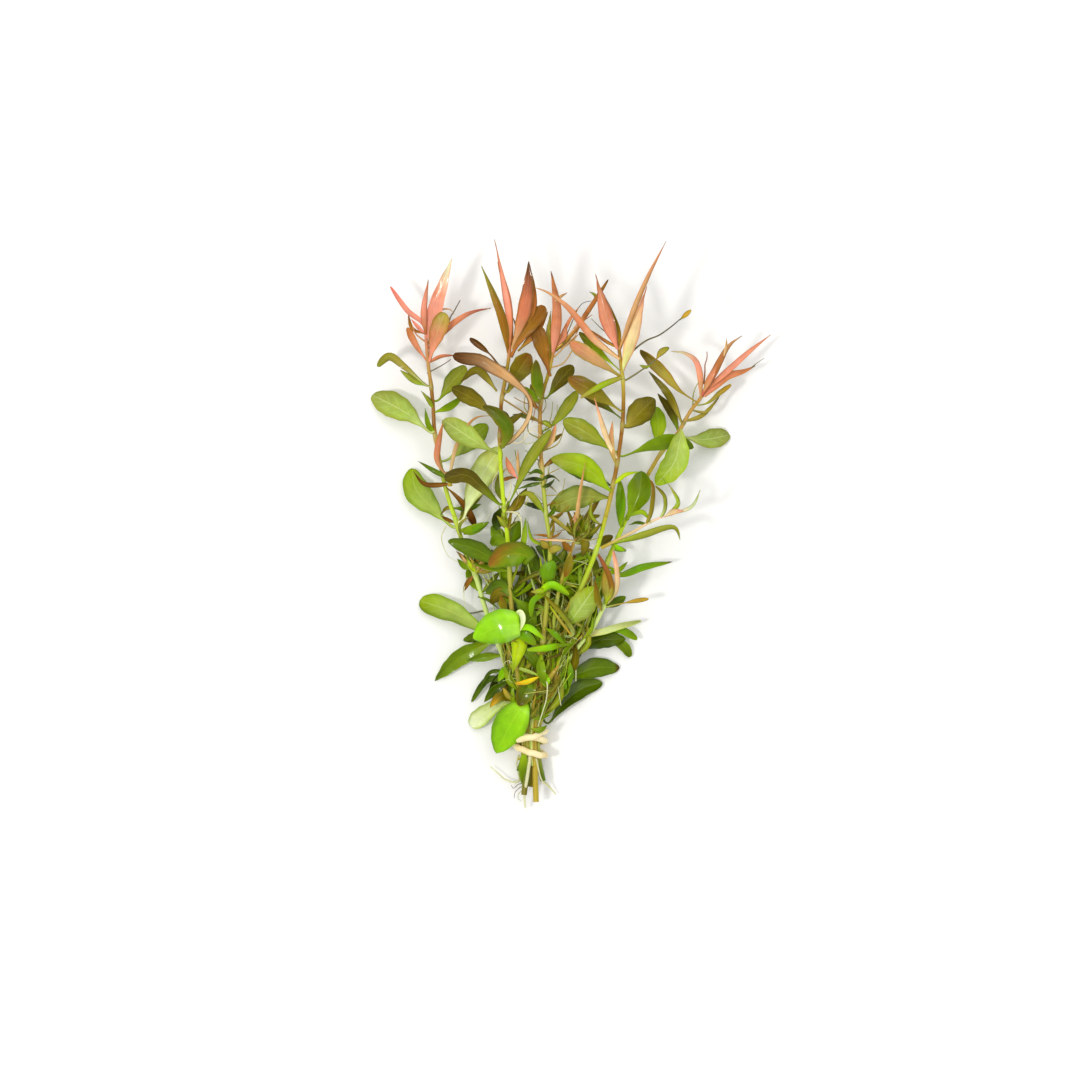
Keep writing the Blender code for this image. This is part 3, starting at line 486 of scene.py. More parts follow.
def modelBlade(form, rows, columns):
    # A flat sheet of unit length, each row drawn in to the leaf's outline
    bpy.ops.mesh.primitive_grid_add(x_subdivisions=rows, y_subdivisions=columns, size=1,
                                    location=(0.5, 0, 0))
    blade = bpy.context.object
    blade.name = form + "Blade"
    bpy.ops.object.transform_apply(location=True)
    sideways = blade.data.attributes.new("across", "FLOAT", "POINT")
    sideways.data.foreach_set("value", [2 * v.co.y for v in blade.data.vertices])
    crowding = bladeGrid["endCrowding"]
    moved = [t / rows for t in range(rows + 1)]
    moved = [(1 - crowding) * t + crowding * 0.5 * (1 - cos(pi * t)) for t in moved]
    bpy.ops.object.mode_set(mode="EDIT")
    bpy.ops.mesh.select_mode(type="VERT")
    for row, target in enumerate(moved):
        selectRow(blade, row / rows, 0.1 / rows)
        width = max(bladeWidth(form, target), bladeGrid["leastWidth"])
        bpy.ops.transform.resize(value=(1, width, 1), center_override=(0, 0, 0))
    bpy.ops.object.mode_set(mode="OBJECT")
    for vert in blade.data.vertices:
        vert.co.x = moved[round(vert.co.x * rows)]
    lengthways = blade.data.attributes.new("along", "FLOAT", "POINT")
    lengthways.data.foreach_set("value", [v.co.x for v in blade.data.vertices])
    sideways = blade.data.attributes["across"]
    body = blade.vertex_groups.new(name="body")
    for vert in blade.data.vertices:
        s = abs(sideways.data[vert.index].value)
        t = vert.co.x
        rib = bladeBody["stalk"] + (bladeBody["rib"] - bladeBody["stalk"]) * ease(*bladeBody["ribFrom"], t)
        rib *= 1 - bladeBody["ribThins"] * t
        stalk = 1 - ease(*bladeBody["stalkEnds"], t)
        across = exp(-(s / (bladeBody["ribWidth"] + bladeBody["stalkWidth"] * stalk)) ** 2)
        edge = bladeBody["edge"] * (1 - bladeBody["edgeThins"] * t)
        body.add([vert.index], min(1, max(rib * across, edge)), "REPLACE")
    return blade


def modelRod(sides, rings):
    # A round bar of unit length and unit radius along X
    bpy.ops.mesh.primitive_cylinder_add(vertices=sides, radius=1, depth=1, location=(0.5, 0, 0),
                                        rotation=(0, pi / 2, 0))
    rod = bpy.context.object
    bpy.ops.object.transform_apply(location=True, rotation=True)
    bpy.ops.object.mode_set(mode="EDIT")
    bpy.ops.mesh.select_mode(type="EDGE")
    mesh = bmesh.from_edit_mesh(rod.data)
    for edge in mesh.edges:
        edge.select_set(abs(edge.verts[0].co.x - edge.verts[1].co.x) > 0.5)
    bmesh.update_edit_mesh(rod.data)
    bpy.ops.mesh.subdivide(number_cuts=rings - 1)
    bpy.ops.object.mode_set(mode="OBJECT")
    lengthways = rod.data.attributes.new("along", "FLOAT", "POINT")
    lengthways.data.foreach_set("value", [v.co.x for v in rod.data.vertices])
    rod.data.attributes.new("across", "FLOAT", "POINT")
    return rod


blades = {form: modelBlade(form, bladeGrid["rows"], bladeGrid["columns"]) for form in bladeForms}
smallBlades = {form: modelBlade(form, bladeGrid["smallRows"], bladeGrid["smallColumns"])
               for form in ("lance", "oval", "needle")}  # for the leaves of the thickets
stemRod = modelRod(sides=12, rings=320)
fineRod = modelRod(sides=8, rings=28)
rootletRod = modelRod(sides=4, rings=12)
print("blades and rods modelled")


def copyOf(pattern, name):
    piece = pattern.copy()
    piece.data = pattern.data.copy()
    piece.name = name
    bpy.context.scene.collection.objects.link(piece)
    return piece


def bendAlong(piece, way, tilts):
    # Lays the piece's length along the way, turned about it by the tilts
    line = bpy.data.curves.new("way", "CURVE")
    line.dimensions = "3D"
    line.twist_mode = "Z_UP"
    line.use_stretch = True
    line.use_deform_bounds = True
    run = line.splines.new("POLY")
    run.points.add(len(way) - 1)
    for knot, point, tilt in zip(run.points, way, tilts):
        knot.co = (*point, 1)
        knot.tilt = tilt
    guide = bpy.data.objects.new("guide", line)
    bpy.context.scene.collection.objects.link(guide)
    bend = piece.modifiers.new("bend", "CURVE")
    bend.object = guide
    bend.deform_axis = "POS_X"
    applyModifiers(piece)
    bpy.data.objects.remove(guide)
    bpy.data.curves.remove(line)


def setColours(piece, name, colours):
    layer = piece.data.attributes.get(name) or piece.data.attributes.new(name, "FLOAT_COLOR", "POINT")
    layer.data.foreach_set("color", [c for colour in colours for c in (*colour, 1.0)])


def leaf(look, form, width, *route, **more):
    # width in mm, seen from above; roll lifts the right-hand edge and fold both edges, in degrees
    return {"look": look, "form": form, "width": width, "route": route, **more}


def sprig(roll, fold, *leaves):
    # Leaves with one roll and fold, apart from those that have their own
    return [{"roll": roll, "fold": fold, **grown} for grown in leaves]


leafShape = {
    "roll": 10, "fold": 12, "thickness": 0.75 * mm, "narrowThickness": 0.9 * mm,
    "stalkReach": 8 * mm,  # how far a stalk may start from its stem
    "wave": 0.35, "narrowWave": 0.5, "waveHeight": 0.12, "waves": 2.6, "waveRange": (0.8, 1.3),
    "rim": (0.1, 0.4), "rimShift": 1.9, "sideWave": 0.35, "sideWaves": 1.7,
    "droop": (-0.1, 0.25), "twist": (-8, 8),
}
# The side share is painted shade: one half of the blade is lighter and the other darker. The edge blend
# darkens the margins, partly the leaf's own margin colour and partly painted shade.
leafTint = {"shade": (0.9, 1.1), "lean": 0.16, "edge": 0.8, "edgeFrom": (0.6, 1.0),
            "burntFrom": (0.9, 0.98), "underside": 0.35, "undersidePale": 0.6}
floorGap = 0.02 * mm
smoothAngle = radians(60)


def rootedKnots(knots):
    # The stalk starts in the middle of the stem that is nearest to it
    middle = min((p for way in stemWays.values() for p in way), key=lambda p: (p - knots[0]).length)
    return [middle.copy(), *knots] if (middle - knots[0]).length < leafShape["stalkReach"] else knots


def dress(piece, finish):
    # Lifts what is below the floor, and gives the piece its finish
    for vert in piece.data.vertices:
        vert.co.z = max(vert.co.z, floorGap)
    piece.data.materials.clear()
    piece.data.materials.append(finish)
    activate(piece)
    bpy.ops.object.shade_smooth_by_angle(angle=smoothAngle)
    return piece


def foldBlade(blade, spec, chance):
    # Gives the flat blade its width, fold, droop and wavy rim, and tells how much it twists
    narrow = spec["width"] <= narrowWidth
    width = spec["width"] * mm / cos(radians(spec.get("roll", leafShape["roll"])))
    fold = radians(spec.get("fold", leafShape["fold"]))
    wave = spec.get("wave", leafShape["wave"] * (leafShape["narrowWave"] if narrow else 1.0))
    waveHeight = wave * spec["width"] * leafShape["waveHeight"] * mm
    waves = leafShape["waves"] * chance.uniform(*leafShape["waveRange"])
    shift = chance.uniform(0, 2 * pi)
    droop = spec.get("droop", chance.uniform(*leafShape["droop"]))
    across = blade.data.attributes["across"].data
    for vert in blade.data.vertices:
        t, s = vert.co.x, across[vert.index].value
        y = vert.co.y * width
        reach = abs(y)
        rim = s * s * ease(*leafShape["rim"], t)
        z = reach * sin(fold) - droop * reach * reach / (0.5 * width)
        z += waveHeight * rim * sin(2 * pi * waves * t + shift + (leafShape["rimShift"] if s > 0 else 0))
        swing = sin(2 * pi * waves * leafShape["sideWaves"] * t + 2 * shift)
        vert.co.y = y + leafShape["sideWave"] * waveHeight * rim * swing
        vert.co.z = z
    blade.data.update()
    return radians(spec.get("twist", chance.uniform(*leafShape["twist"])))


def paintBlade(blade, spec, chance, upperCount):
    # Foot to tip, with an edge colour that is partly the margin's own and partly painted shade, a burnt
    # tip, a paler underside, and painted shade that makes one side of the blade lighter than the other
    foot, middle, tip, vein, edge = [paints[p] for p in leafLooks[spec["look"]][:5]]
    stops = [(0.0, foot), (spec.get("turn", 0.5), middle), (1.0, tip)]
    along = blade.data.attributes["along"].data
    across = blade.data.attributes["across"].data
    shade = chance.uniform(*leafTint["shade"])
    # Painted shade: picks which side of the blade is lighter and which darker
    lean = chance.choice((-1, 1)) * leafTint["lean"]
    skew = spec.get("skew", 0.0)
    tints = []
    for i in range(len(blade.data.vertices)):
        t, s = along[i].value, abs(across[i].value)
        tint = colourAlong(stops, min(max(t + skew * across[i].value, 0.0), 1.0))
        # The margins blend to the edge colour: partly the leaf's own margin colour, partly painted shade
        # darkening towards the edges
        tint = blend(tint, edge, leafTint["edge"] * ease(*leafTint["edgeFrom"], s))
        tint = blend(tint, paints["umber"], spec.get("burnt", 0.0) * ease(*leafTint["burntFrom"], t))
        # Painted shade across the blade: lighter on one side of the midrib, darker on the other
        tint = tuple(c * (1 + lean * across[i].value) for c in tint)
        under = leafTint["underside"] if i >= upperCount else 0.0
        tint = blend(tint, blend(tint, paints["pale"], leafTint["undersidePale"]), under)
        tints.append(tuple(shade * c for c in tint))
    setColours(blade, "tint", tints)
    setColours(blade, "veinTint", [vein] * len(tints))


def makeLeaf(name, spec, seed, rooted=False, patterns=blades):
    chance = Random(seed)
    knots = [place(p) for p in spec["route"]]
    if rooted:
        knots = rootedKnots(knots)
    way = smoothWay(knots)
    total = wayLengths(way)
    blade = copyOf(patterns[spec["form"]], name)
    twist = foldBlade(blade, spec, chance)
    roll = radians(spec.get("roll", leafShape["roll"]))
    upperCount = len(blade.data.vertices)
    bendAlong(blade, way, [-(roll + twist * d / total[-1]) for d in total])
    narrow = spec["width"] <= narrowWidth
    wall = blade.modifiers.new("wall", "SOLIDIFY")
    wall.thickness = leafShape["narrowThickness"] if narrow else leafShape["thickness"]
    wall.offset = 0
    wall.vertex_group = "body"
    applyModifiers(blade)
    paintBlade(blade, spec, chance, upperCount)
    finish = leafLooks[spec["look"]][5]
    if narrow and finish != "under":
        finish = "narrow"
    return dress(blade, leafFinish[finish])


def makeRod(name, pattern, way, radiusAt, colourAt, finish):
    # A round stem or root along the way; radiusAt and colourAt take the distance from its start
    length = wayLengths(way)[-1]
    rod = copyOf(pattern, name)
    for vert in rod.data.vertices:
        radius = radiusAt(vert.co.x * length)
        vert.co.y *= radius
        vert.co.z *= radius
    rod.data.update()
    bendAlong(rod, way, [0.0] * len(way))
    colours = [colourAt(entry.value * length) for entry in rod.data.attributes["along"].data]
    setColours(rod, "tint", [tint for tint, speck in colours])
    setColours(rod, "veinTint", [speck for tint, speck in colours])
    return dress(rod, finish)


def joined(pieces, name):
    bpy.ops.object.select_all(action="DESELECT")
    for piece in pieces:
        piece.select_set(True)
    bpy.context.view_layer.objects.active = pieces[0]
    if len(pieces) > 1:
        bpy.ops.object.join()
    piece = bpy.context.view_layer.objects.active
    piece.name = name
    piece.data.name = name
    for group in list(piece.vertex_groups):
        piece.vertex_groups.remove(group)
    return piece


def standFor(piece, node):
    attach(piece, "root")
    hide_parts(node)


def pieceName(name):
    # leaf_left_1 becomes leafLeft1
    first, *rest = name.split("_")
    return first + "".join(word.title() for word in rest)


# The stems: way from the cut end up, rows of the plan where they swell, the row where the shoot tip
# begins, and their colours by row
stems = {
    "left": {
        "route": ((519, 772, 7.5), (523.6, 756, 9.3), (523.6, 729, 9.3), (515, 702, 10),
                  (505, 664, 10.5), (499, 646, 11), (487, 615, 12), (475, 575, 13.5), (468, 562, 14),
                  (456, 522, 15), (445, 487, 16), (435, 436, 18), (433, 408, 19), (431, 386, 20),
                  (428, 364, 21), (426, 338, 22)),
        "joints": (646, 575, 522, 436, 386),
        "tipRow": 378,
        "colours": ((772, "moss"), (700, "stemGreen"), (640, "stemPale"), (585, "stemPale"),
                    (560, "stemGreen"), (520, "stemLime"), (470, "stemGreen"), (440, "stemTan"),
                    (425, "stemRust"), (390, "stemRust"), (372, "stemTan"), (338, "salmon")),
    },
    "inner_left": {
        "route": ((524, 796, 11.5), (527.4, 756, 12.0), (527.4, 729, 12.0), (521, 700, 16),
                  (515, 650, 21), (511, 600, 25), (508, 543, 30), (504, 507, 33), (500, 450, 37),
                  (501, 415, 39), (502, 399, 40), (507, 372, 41), (510, 350, 42)),
        "joints": (650, 507, 436, 399),
        "tipRow": 372,
        "colours": ((796, "olive"), (770, "moss"), (740, "stemGreen"), (660, "khaki"), (600, "khaki"),
                    (562, "stemGreen"), (545, "stemLime"), (455, "stemLime"), (438, "stemRust"),
                    (400, "stemRust"), (372, "stemGold"), (350, "copper")),
    },
    "centre": {
        "route": ((536, 803, 10.5), (534.6, 756, 11.9), (534.6, 729, 11.9), (536, 690, 17),
                  (543, 640, 22), (548, 590, 26), (550, 545, 30), (546, 514, 31), (542, 469, 33),
                  (540, 436, 34), (541, 402, 36), (549, 372, 38), (554, 348, 38.5)),
        "joints": (640, 590, 514, 469, 402),
        "tipRow": 372,
        "colours": ((803, "stemGold"), (730, "stemGold"), (690, "stemRust"), (640, "khaki"),
                    (590, "stemGreen"), (500, "stemGreen"), (460, "stemTan"), (430, "stemTan"),
                    (400, "bronze"), (372, "stemGold"), (348, "copper")),
    },
    "inner_right": {
        "route": ((543, 782, 7.5), (538.1, 756, 9.3), (538.1, 729, 9.3), (548, 700, 12), (560, 650, 16),
                  (572, 610, 20), (582, 586, 23), (596, 551, 27), (607, 511, 31), (613, 484, 33),
                  (617, 463, 35), (622, 426, 38), (623, 392, 41), (621, 369, 42), (618, 346, 43)),
        "joints": (650, 551, 484, 463, 426, 379),
        "tipRow": 384,
        "colours": ((782, "moss"), (740, "stemGreen"), (690, "stemRust"), (610, "stemGreen"),
                    (540, "stemLime"), (505, "stemGold"), (470, "bronze"), (440, "stemRust"),
                    (410, "bronze"), (380, "stemGold"), (346, "bronze")),
    },
    "right": {
        "route": ((540, 774, 1.6), (534.9, 756, 6.7), (534.9, 729, 6.7), (555, 700, 7.5), (575, 650, 9),
                  (595, 600, 11), (608, 561, 12), (617, 540, 13), (640, 490, 16), (655, 463, 17),
                  (662, 452, 18), (678, 433, 19), (690, 412, 21), (700, 399, 21.5), (711, 384, 22)),
        "joints": (650, 600, 561, 452, 423),
        "tipRow": 408,
        "colours": ((774, "moss"), (700, "stemGreen"), (600, "stemGreen"), (520, "stemLime"),
                    (480, "stemGold"), (430, "stemTan"), (400, "stemTan"), (384, "salmon")),
    },
}

shortShoots = {
    "shoot_low_right": {
        "route": ((527, 779, 1.6), (526.7, 756, 6.7), (526.7, 729, 6.7), (540, 700, 9),
                  (568, 660, 12.5), (591, 631, 16), (603, 608, 19), (609, 588, 20.5)),
        "joints": (660, 631, 608),
        "thin": 1.1,
        "colours": ((779, "olive"), (700, "stemGreen"), (650, "stemPale"), (605, "stemPale"),
                    (588, "stemLime")),
    },
    "shoot_centre": {
        "route": ((531, 788, 8.0), (531, 756, 9.3), (531, 729, 9.3), (541, 700, 12.8), (550, 650, 19),
                  (557, 600, 24), (566, 565, 26), (577, 535, 28)),
        "joints": (650, 600, 565),
        "thin": 0.9,
        "colours": ((788, "olive"), (740, "khaki"), (700, "stemRust"), (620, "stemGreen"),
                    (560, "stemGold"), (535, "stemTan")),
    },
    "side_shoot_right": {
        "route": ((601, 548, 28.5), (629, 534, 30), (650, 522, 30.5), (668, 515, 31)),
        "joints": (522,),
        "thin": 0.6,
        "colours": ((548, "stemGold"), (530, "paleTan"), (515, "blush")),
    },
    "side_shoot_left": {
        "route": ((450, 486, 19.5), (449, 479, 20), (446, 472, 21)),
        "joints": (479,),
        "thin": 0.8,
        "colours": ((486, "stemGold"), (472, "stemTan")),
    },
}

stemShape = {
    "radius": 1.24 * mm, "tipRadius": 0.74 * mm, "swell": 0.3, "swellLength": 1.5 * mm,
    "scarDepth": 0.07, "scarLength": 0.28 * mm, "ripple": 0.03, "rippleLength": 3.1 * mm,
    "jointPale": 0.4, "paleLength": 1.3 * mm, "jointDark": 0.6, "darkLength": 0.25 * mm, "speck": 0.5,
    "overlap": 0.2 * mm,  # how far a shoot tip starts inside its stem
}


def distanceAtRow(way, total, row):
    level = (plan["centre"][1] - row) * plan["point"]
    nearest = min(range(len(way)), key=lambda i: abs(way[i].y - level))
    return total[nearest]


def partOf(way, total, start, end):
    kept = [point for point, d in zip(way, total) if start < d < end]
    return [pointAt(way, total, start)] + kept + [pointAt(way, total, end)]


def pointAt(way, total, distance):
    for i in range(1, len(way)):
        if total[i] >= distance:
            run = total[i] - total[i - 1]
            return way[i - 1].lerp(way[i], (distance - total[i - 1]) / run if run else 0.0)
    return way[-1].copy()


def makeStem(name, spec, start, end):
    way = smoothWay([place(p) for p in spec["route"]])
    total = wayLengths(way)
    length = total[-1]
    joints = [distanceAtRow(way, total, row) for row in spec["joints"]]
    colours = sorted((distanceAtRow(way, total, row), paints[colour]) for row, colour in spec["colours"])

    def nearJoint(d, reach):
        return sum(exp(-((d - joint) / reach) ** 2) for joint in joints)

    def radiusAt(d):
        d += start
        radius = stemShape["radius"] + (stemShape["tipRadius"] - stemShape["radius"]) * d / length
        radius *= 1 + stemShape["swell"] * nearJoint(d, stemShape["swellLength"])
        radius *= 1 - stemShape["scarDepth"] * nearJoint(d, stemShape["scarLength"])
        radius *= 1 + stemShape["ripple"] * sin(2 * pi * d / stemShape["rippleLength"])
        return spec.get("thin", 1.0) * radius

    def colourAt(d):
        d += start
        tint = colourAlong(colours, d)
        pale = stemShape["jointPale"] * min(1, nearJoint(d, stemShape["paleLength"]))
        dark = stemShape["jointDark"] * min(1, nearJoint(d, stemShape["darkLength"]))
        tint = blend(blend(tint, paints["stemPale"], pale), paints["umber"], dark)
        return tint, blend(tint, paints["brown"], stemShape["speck"])

    return makeRod(name, stemRod, partOf(way, total, start, end), radiusAt, colourAt, stemFinish)


# Roots and twigs: thin, white or dark, at the cut ends, the joints and the shoot tips
rootShape = {"thins": 0.5, "khakiFoot": 0.35}


def root(width, *route, colour="root"):
    return {"width": width, "route": route, "colour": colour}


roots = {
    "shoot_centre": (
        root(1.7, (530, 757, 14), (527, 780, 14), (524.5, 795, 10), (525, 809, 6)),
        root(0.4, (526, 786, 8), (520, 789, 8), (515, 794, 5), (514, 800, 3), colour="grey"),
        root(0.4, (525, 784, 7), (518, 786, 6), (513.6, 790, 4), (511, 787, 3), colour="grey"),
        root(0.4, (525, 790, 8), (519, 795, 7), (518, 800, 5), (521, 803, 3), colour="greyLight"),
    ),
    "stem_inner_right": (
        root(0.9, (536, 759, 13), (541, 780, 10), (548, 788, 6), (556, 796, 3)),
        root(1.2, (541, 781, 7), (548, 787, 5), (556, 796, 3)),
    ),
    "tip_left": (
        root(0.7, (447, 332, 22), (450, 318, 22), (454, 311, 22), (460, 300, 21), colour="twigDark"),
        root(0.6, (427, 373, 21), (442, 365, 21), (451, 359, 21), colour="twigDark"),
        root(0.8, (426, 342, 22), (416, 334, 22), (412, 325, 21), colour="salmon"),
    ),
    "tip_centre": (
        root(0.5, (563, 345, 40), (575, 316, 42), (580, 307, 43), (585, 303.5, 43), (591, 302.5, 43),
             colour="twigDark"),
        root(0.8, (554, 358, 38), (573, 339, 40), (578, 331.5, 41), colour="tan"),
        root(0.7, (552, 368, 38), (563, 364, 38), (572, 351, 39), (576, 335, 40), (583, 322, 42),
             colour="tan"),
        root(0.6, (578, 326, 42), (585, 321, 43), (592, 316, 43), colour="copper"),
    ),
    "tip_inner_right": (
        root(0.5, (606, 334, 43), (599, 328, 43), (591, 320, 43), colour="grey"),
        root(0.9, (621, 362, 42), (631, 353.5, 42), (638, 347, 42), (647, 341, 42), (658, 336.5, 41.5),
             (669, 329, 41), (681, 319, 40), colour="twigDark"),
        root(0.9, (622, 382, 41.5), (628, 379.5, 41.5), (647, 367, 42), (657, 359, 42), colour="grey"),
    ),
    "tip_right": (
        root(0.7, (704, 384, 22), (705, 371, 24), (705, 365, 24.5), (707, 358, 24.5), (707, 351.5, 24),
             colour="maroon"),
        root(0.6, (693, 407, 21), (693.5, 394, 23), (697.5, 384, 24), (703, 378, 24), colour="oliveGreen"),
        root(0.4, (752, 367, 15), (757, 363, 14), (765, 357.5, 12), colour="grey"),
    ),
    "stem_left": (
        root(1.1, (520, 768, 8), (518, 783, 6), (506, 781.5, 5), (498, 775, 5), (490, 768, 4)),
        root(0.8, (519, 756, 9), (516.5, 765, 8), (519, 781, 7)),
        root(0.9, (487, 613, 12.5), (481.8, 611.7, 9), (471, 613.6, 7), (461, 612, 6), colour="twigDark"),
        root(0.5, (467, 578, 11), (463.5, 592, 9), (464.5, 609, 7)),
        root(0.5, (446, 526, 15), (441, 538, 12), (447, 555, 10), (457, 562, 10)),
    ),
    "shoot_low_right": (
        root(0.7, (566, 657, 12.5), (575, 659, 14), (576, 670, 13), (576, 682, 11)),
        root(0.6, (561, 662, 12), (557, 675, 18), (558, 687, 18), (561, 706, 14)),
    ),
    "stem_centre": (
        root(0.7, (540, 678, 18), (547, 683, 23), (546.5, 698, 22), (543.6, 709, 20), (538, 727, 16)),
        root(0.4, (536, 690, 17), (525, 693.5, 23), (545, 691, 23), (556, 688.5, 21), colour="rootYellow"),
    ),
    "stem_inner_left": (
        root(0.8, (502, 399, 40), (519, 410, 41), (536, 421, 38), (543, 425, 36), colour="bronze"),
        root(0.6, (541, 402, 37), (527, 404, 39), (514, 398, 40), colour="bronze"),
        root(0.5, (530, 395, 40), (535, 408, 38), (532, 423, 36), colour="copper"),
        root(0.5, (501, 441, 37), (520, 443, 38), (531, 431, 38), (541, 436, 35), colour="cream"),
        root(0.4, (500, 420, 39), (513, 430, 39), (526, 431, 38), (541, 424, 35), colour="cream"),
        root(0.9, (505, 512, 33), (516, 513, 34), (521.5, 522, 34), (521.5, 549, 32)),
        root(0.6, (505, 507, 33), (511, 488, 35), (508, 470, 35), (513, 460, 34)),
    ),
}


def makeRoot(name, spec, pattern=fineRod):
    way = smoothWay([place(p) for p in spec["route"]])
    length = wayLengths(way)[-1]
    thick = 0.5 * spec["width"] * mm

    def radiusAt(d):
        return thick * (1 - rootShape["thins"] * d / length)

    def colourAt(d):
        tint = blend(paints[spec["colour"]], paints["khaki"], rootShape["khakiFoot"] * (1 - d / length))
        return tint, tint

    return makeRod(name, pattern, way, radiusAt, colourAt, rootFinish)


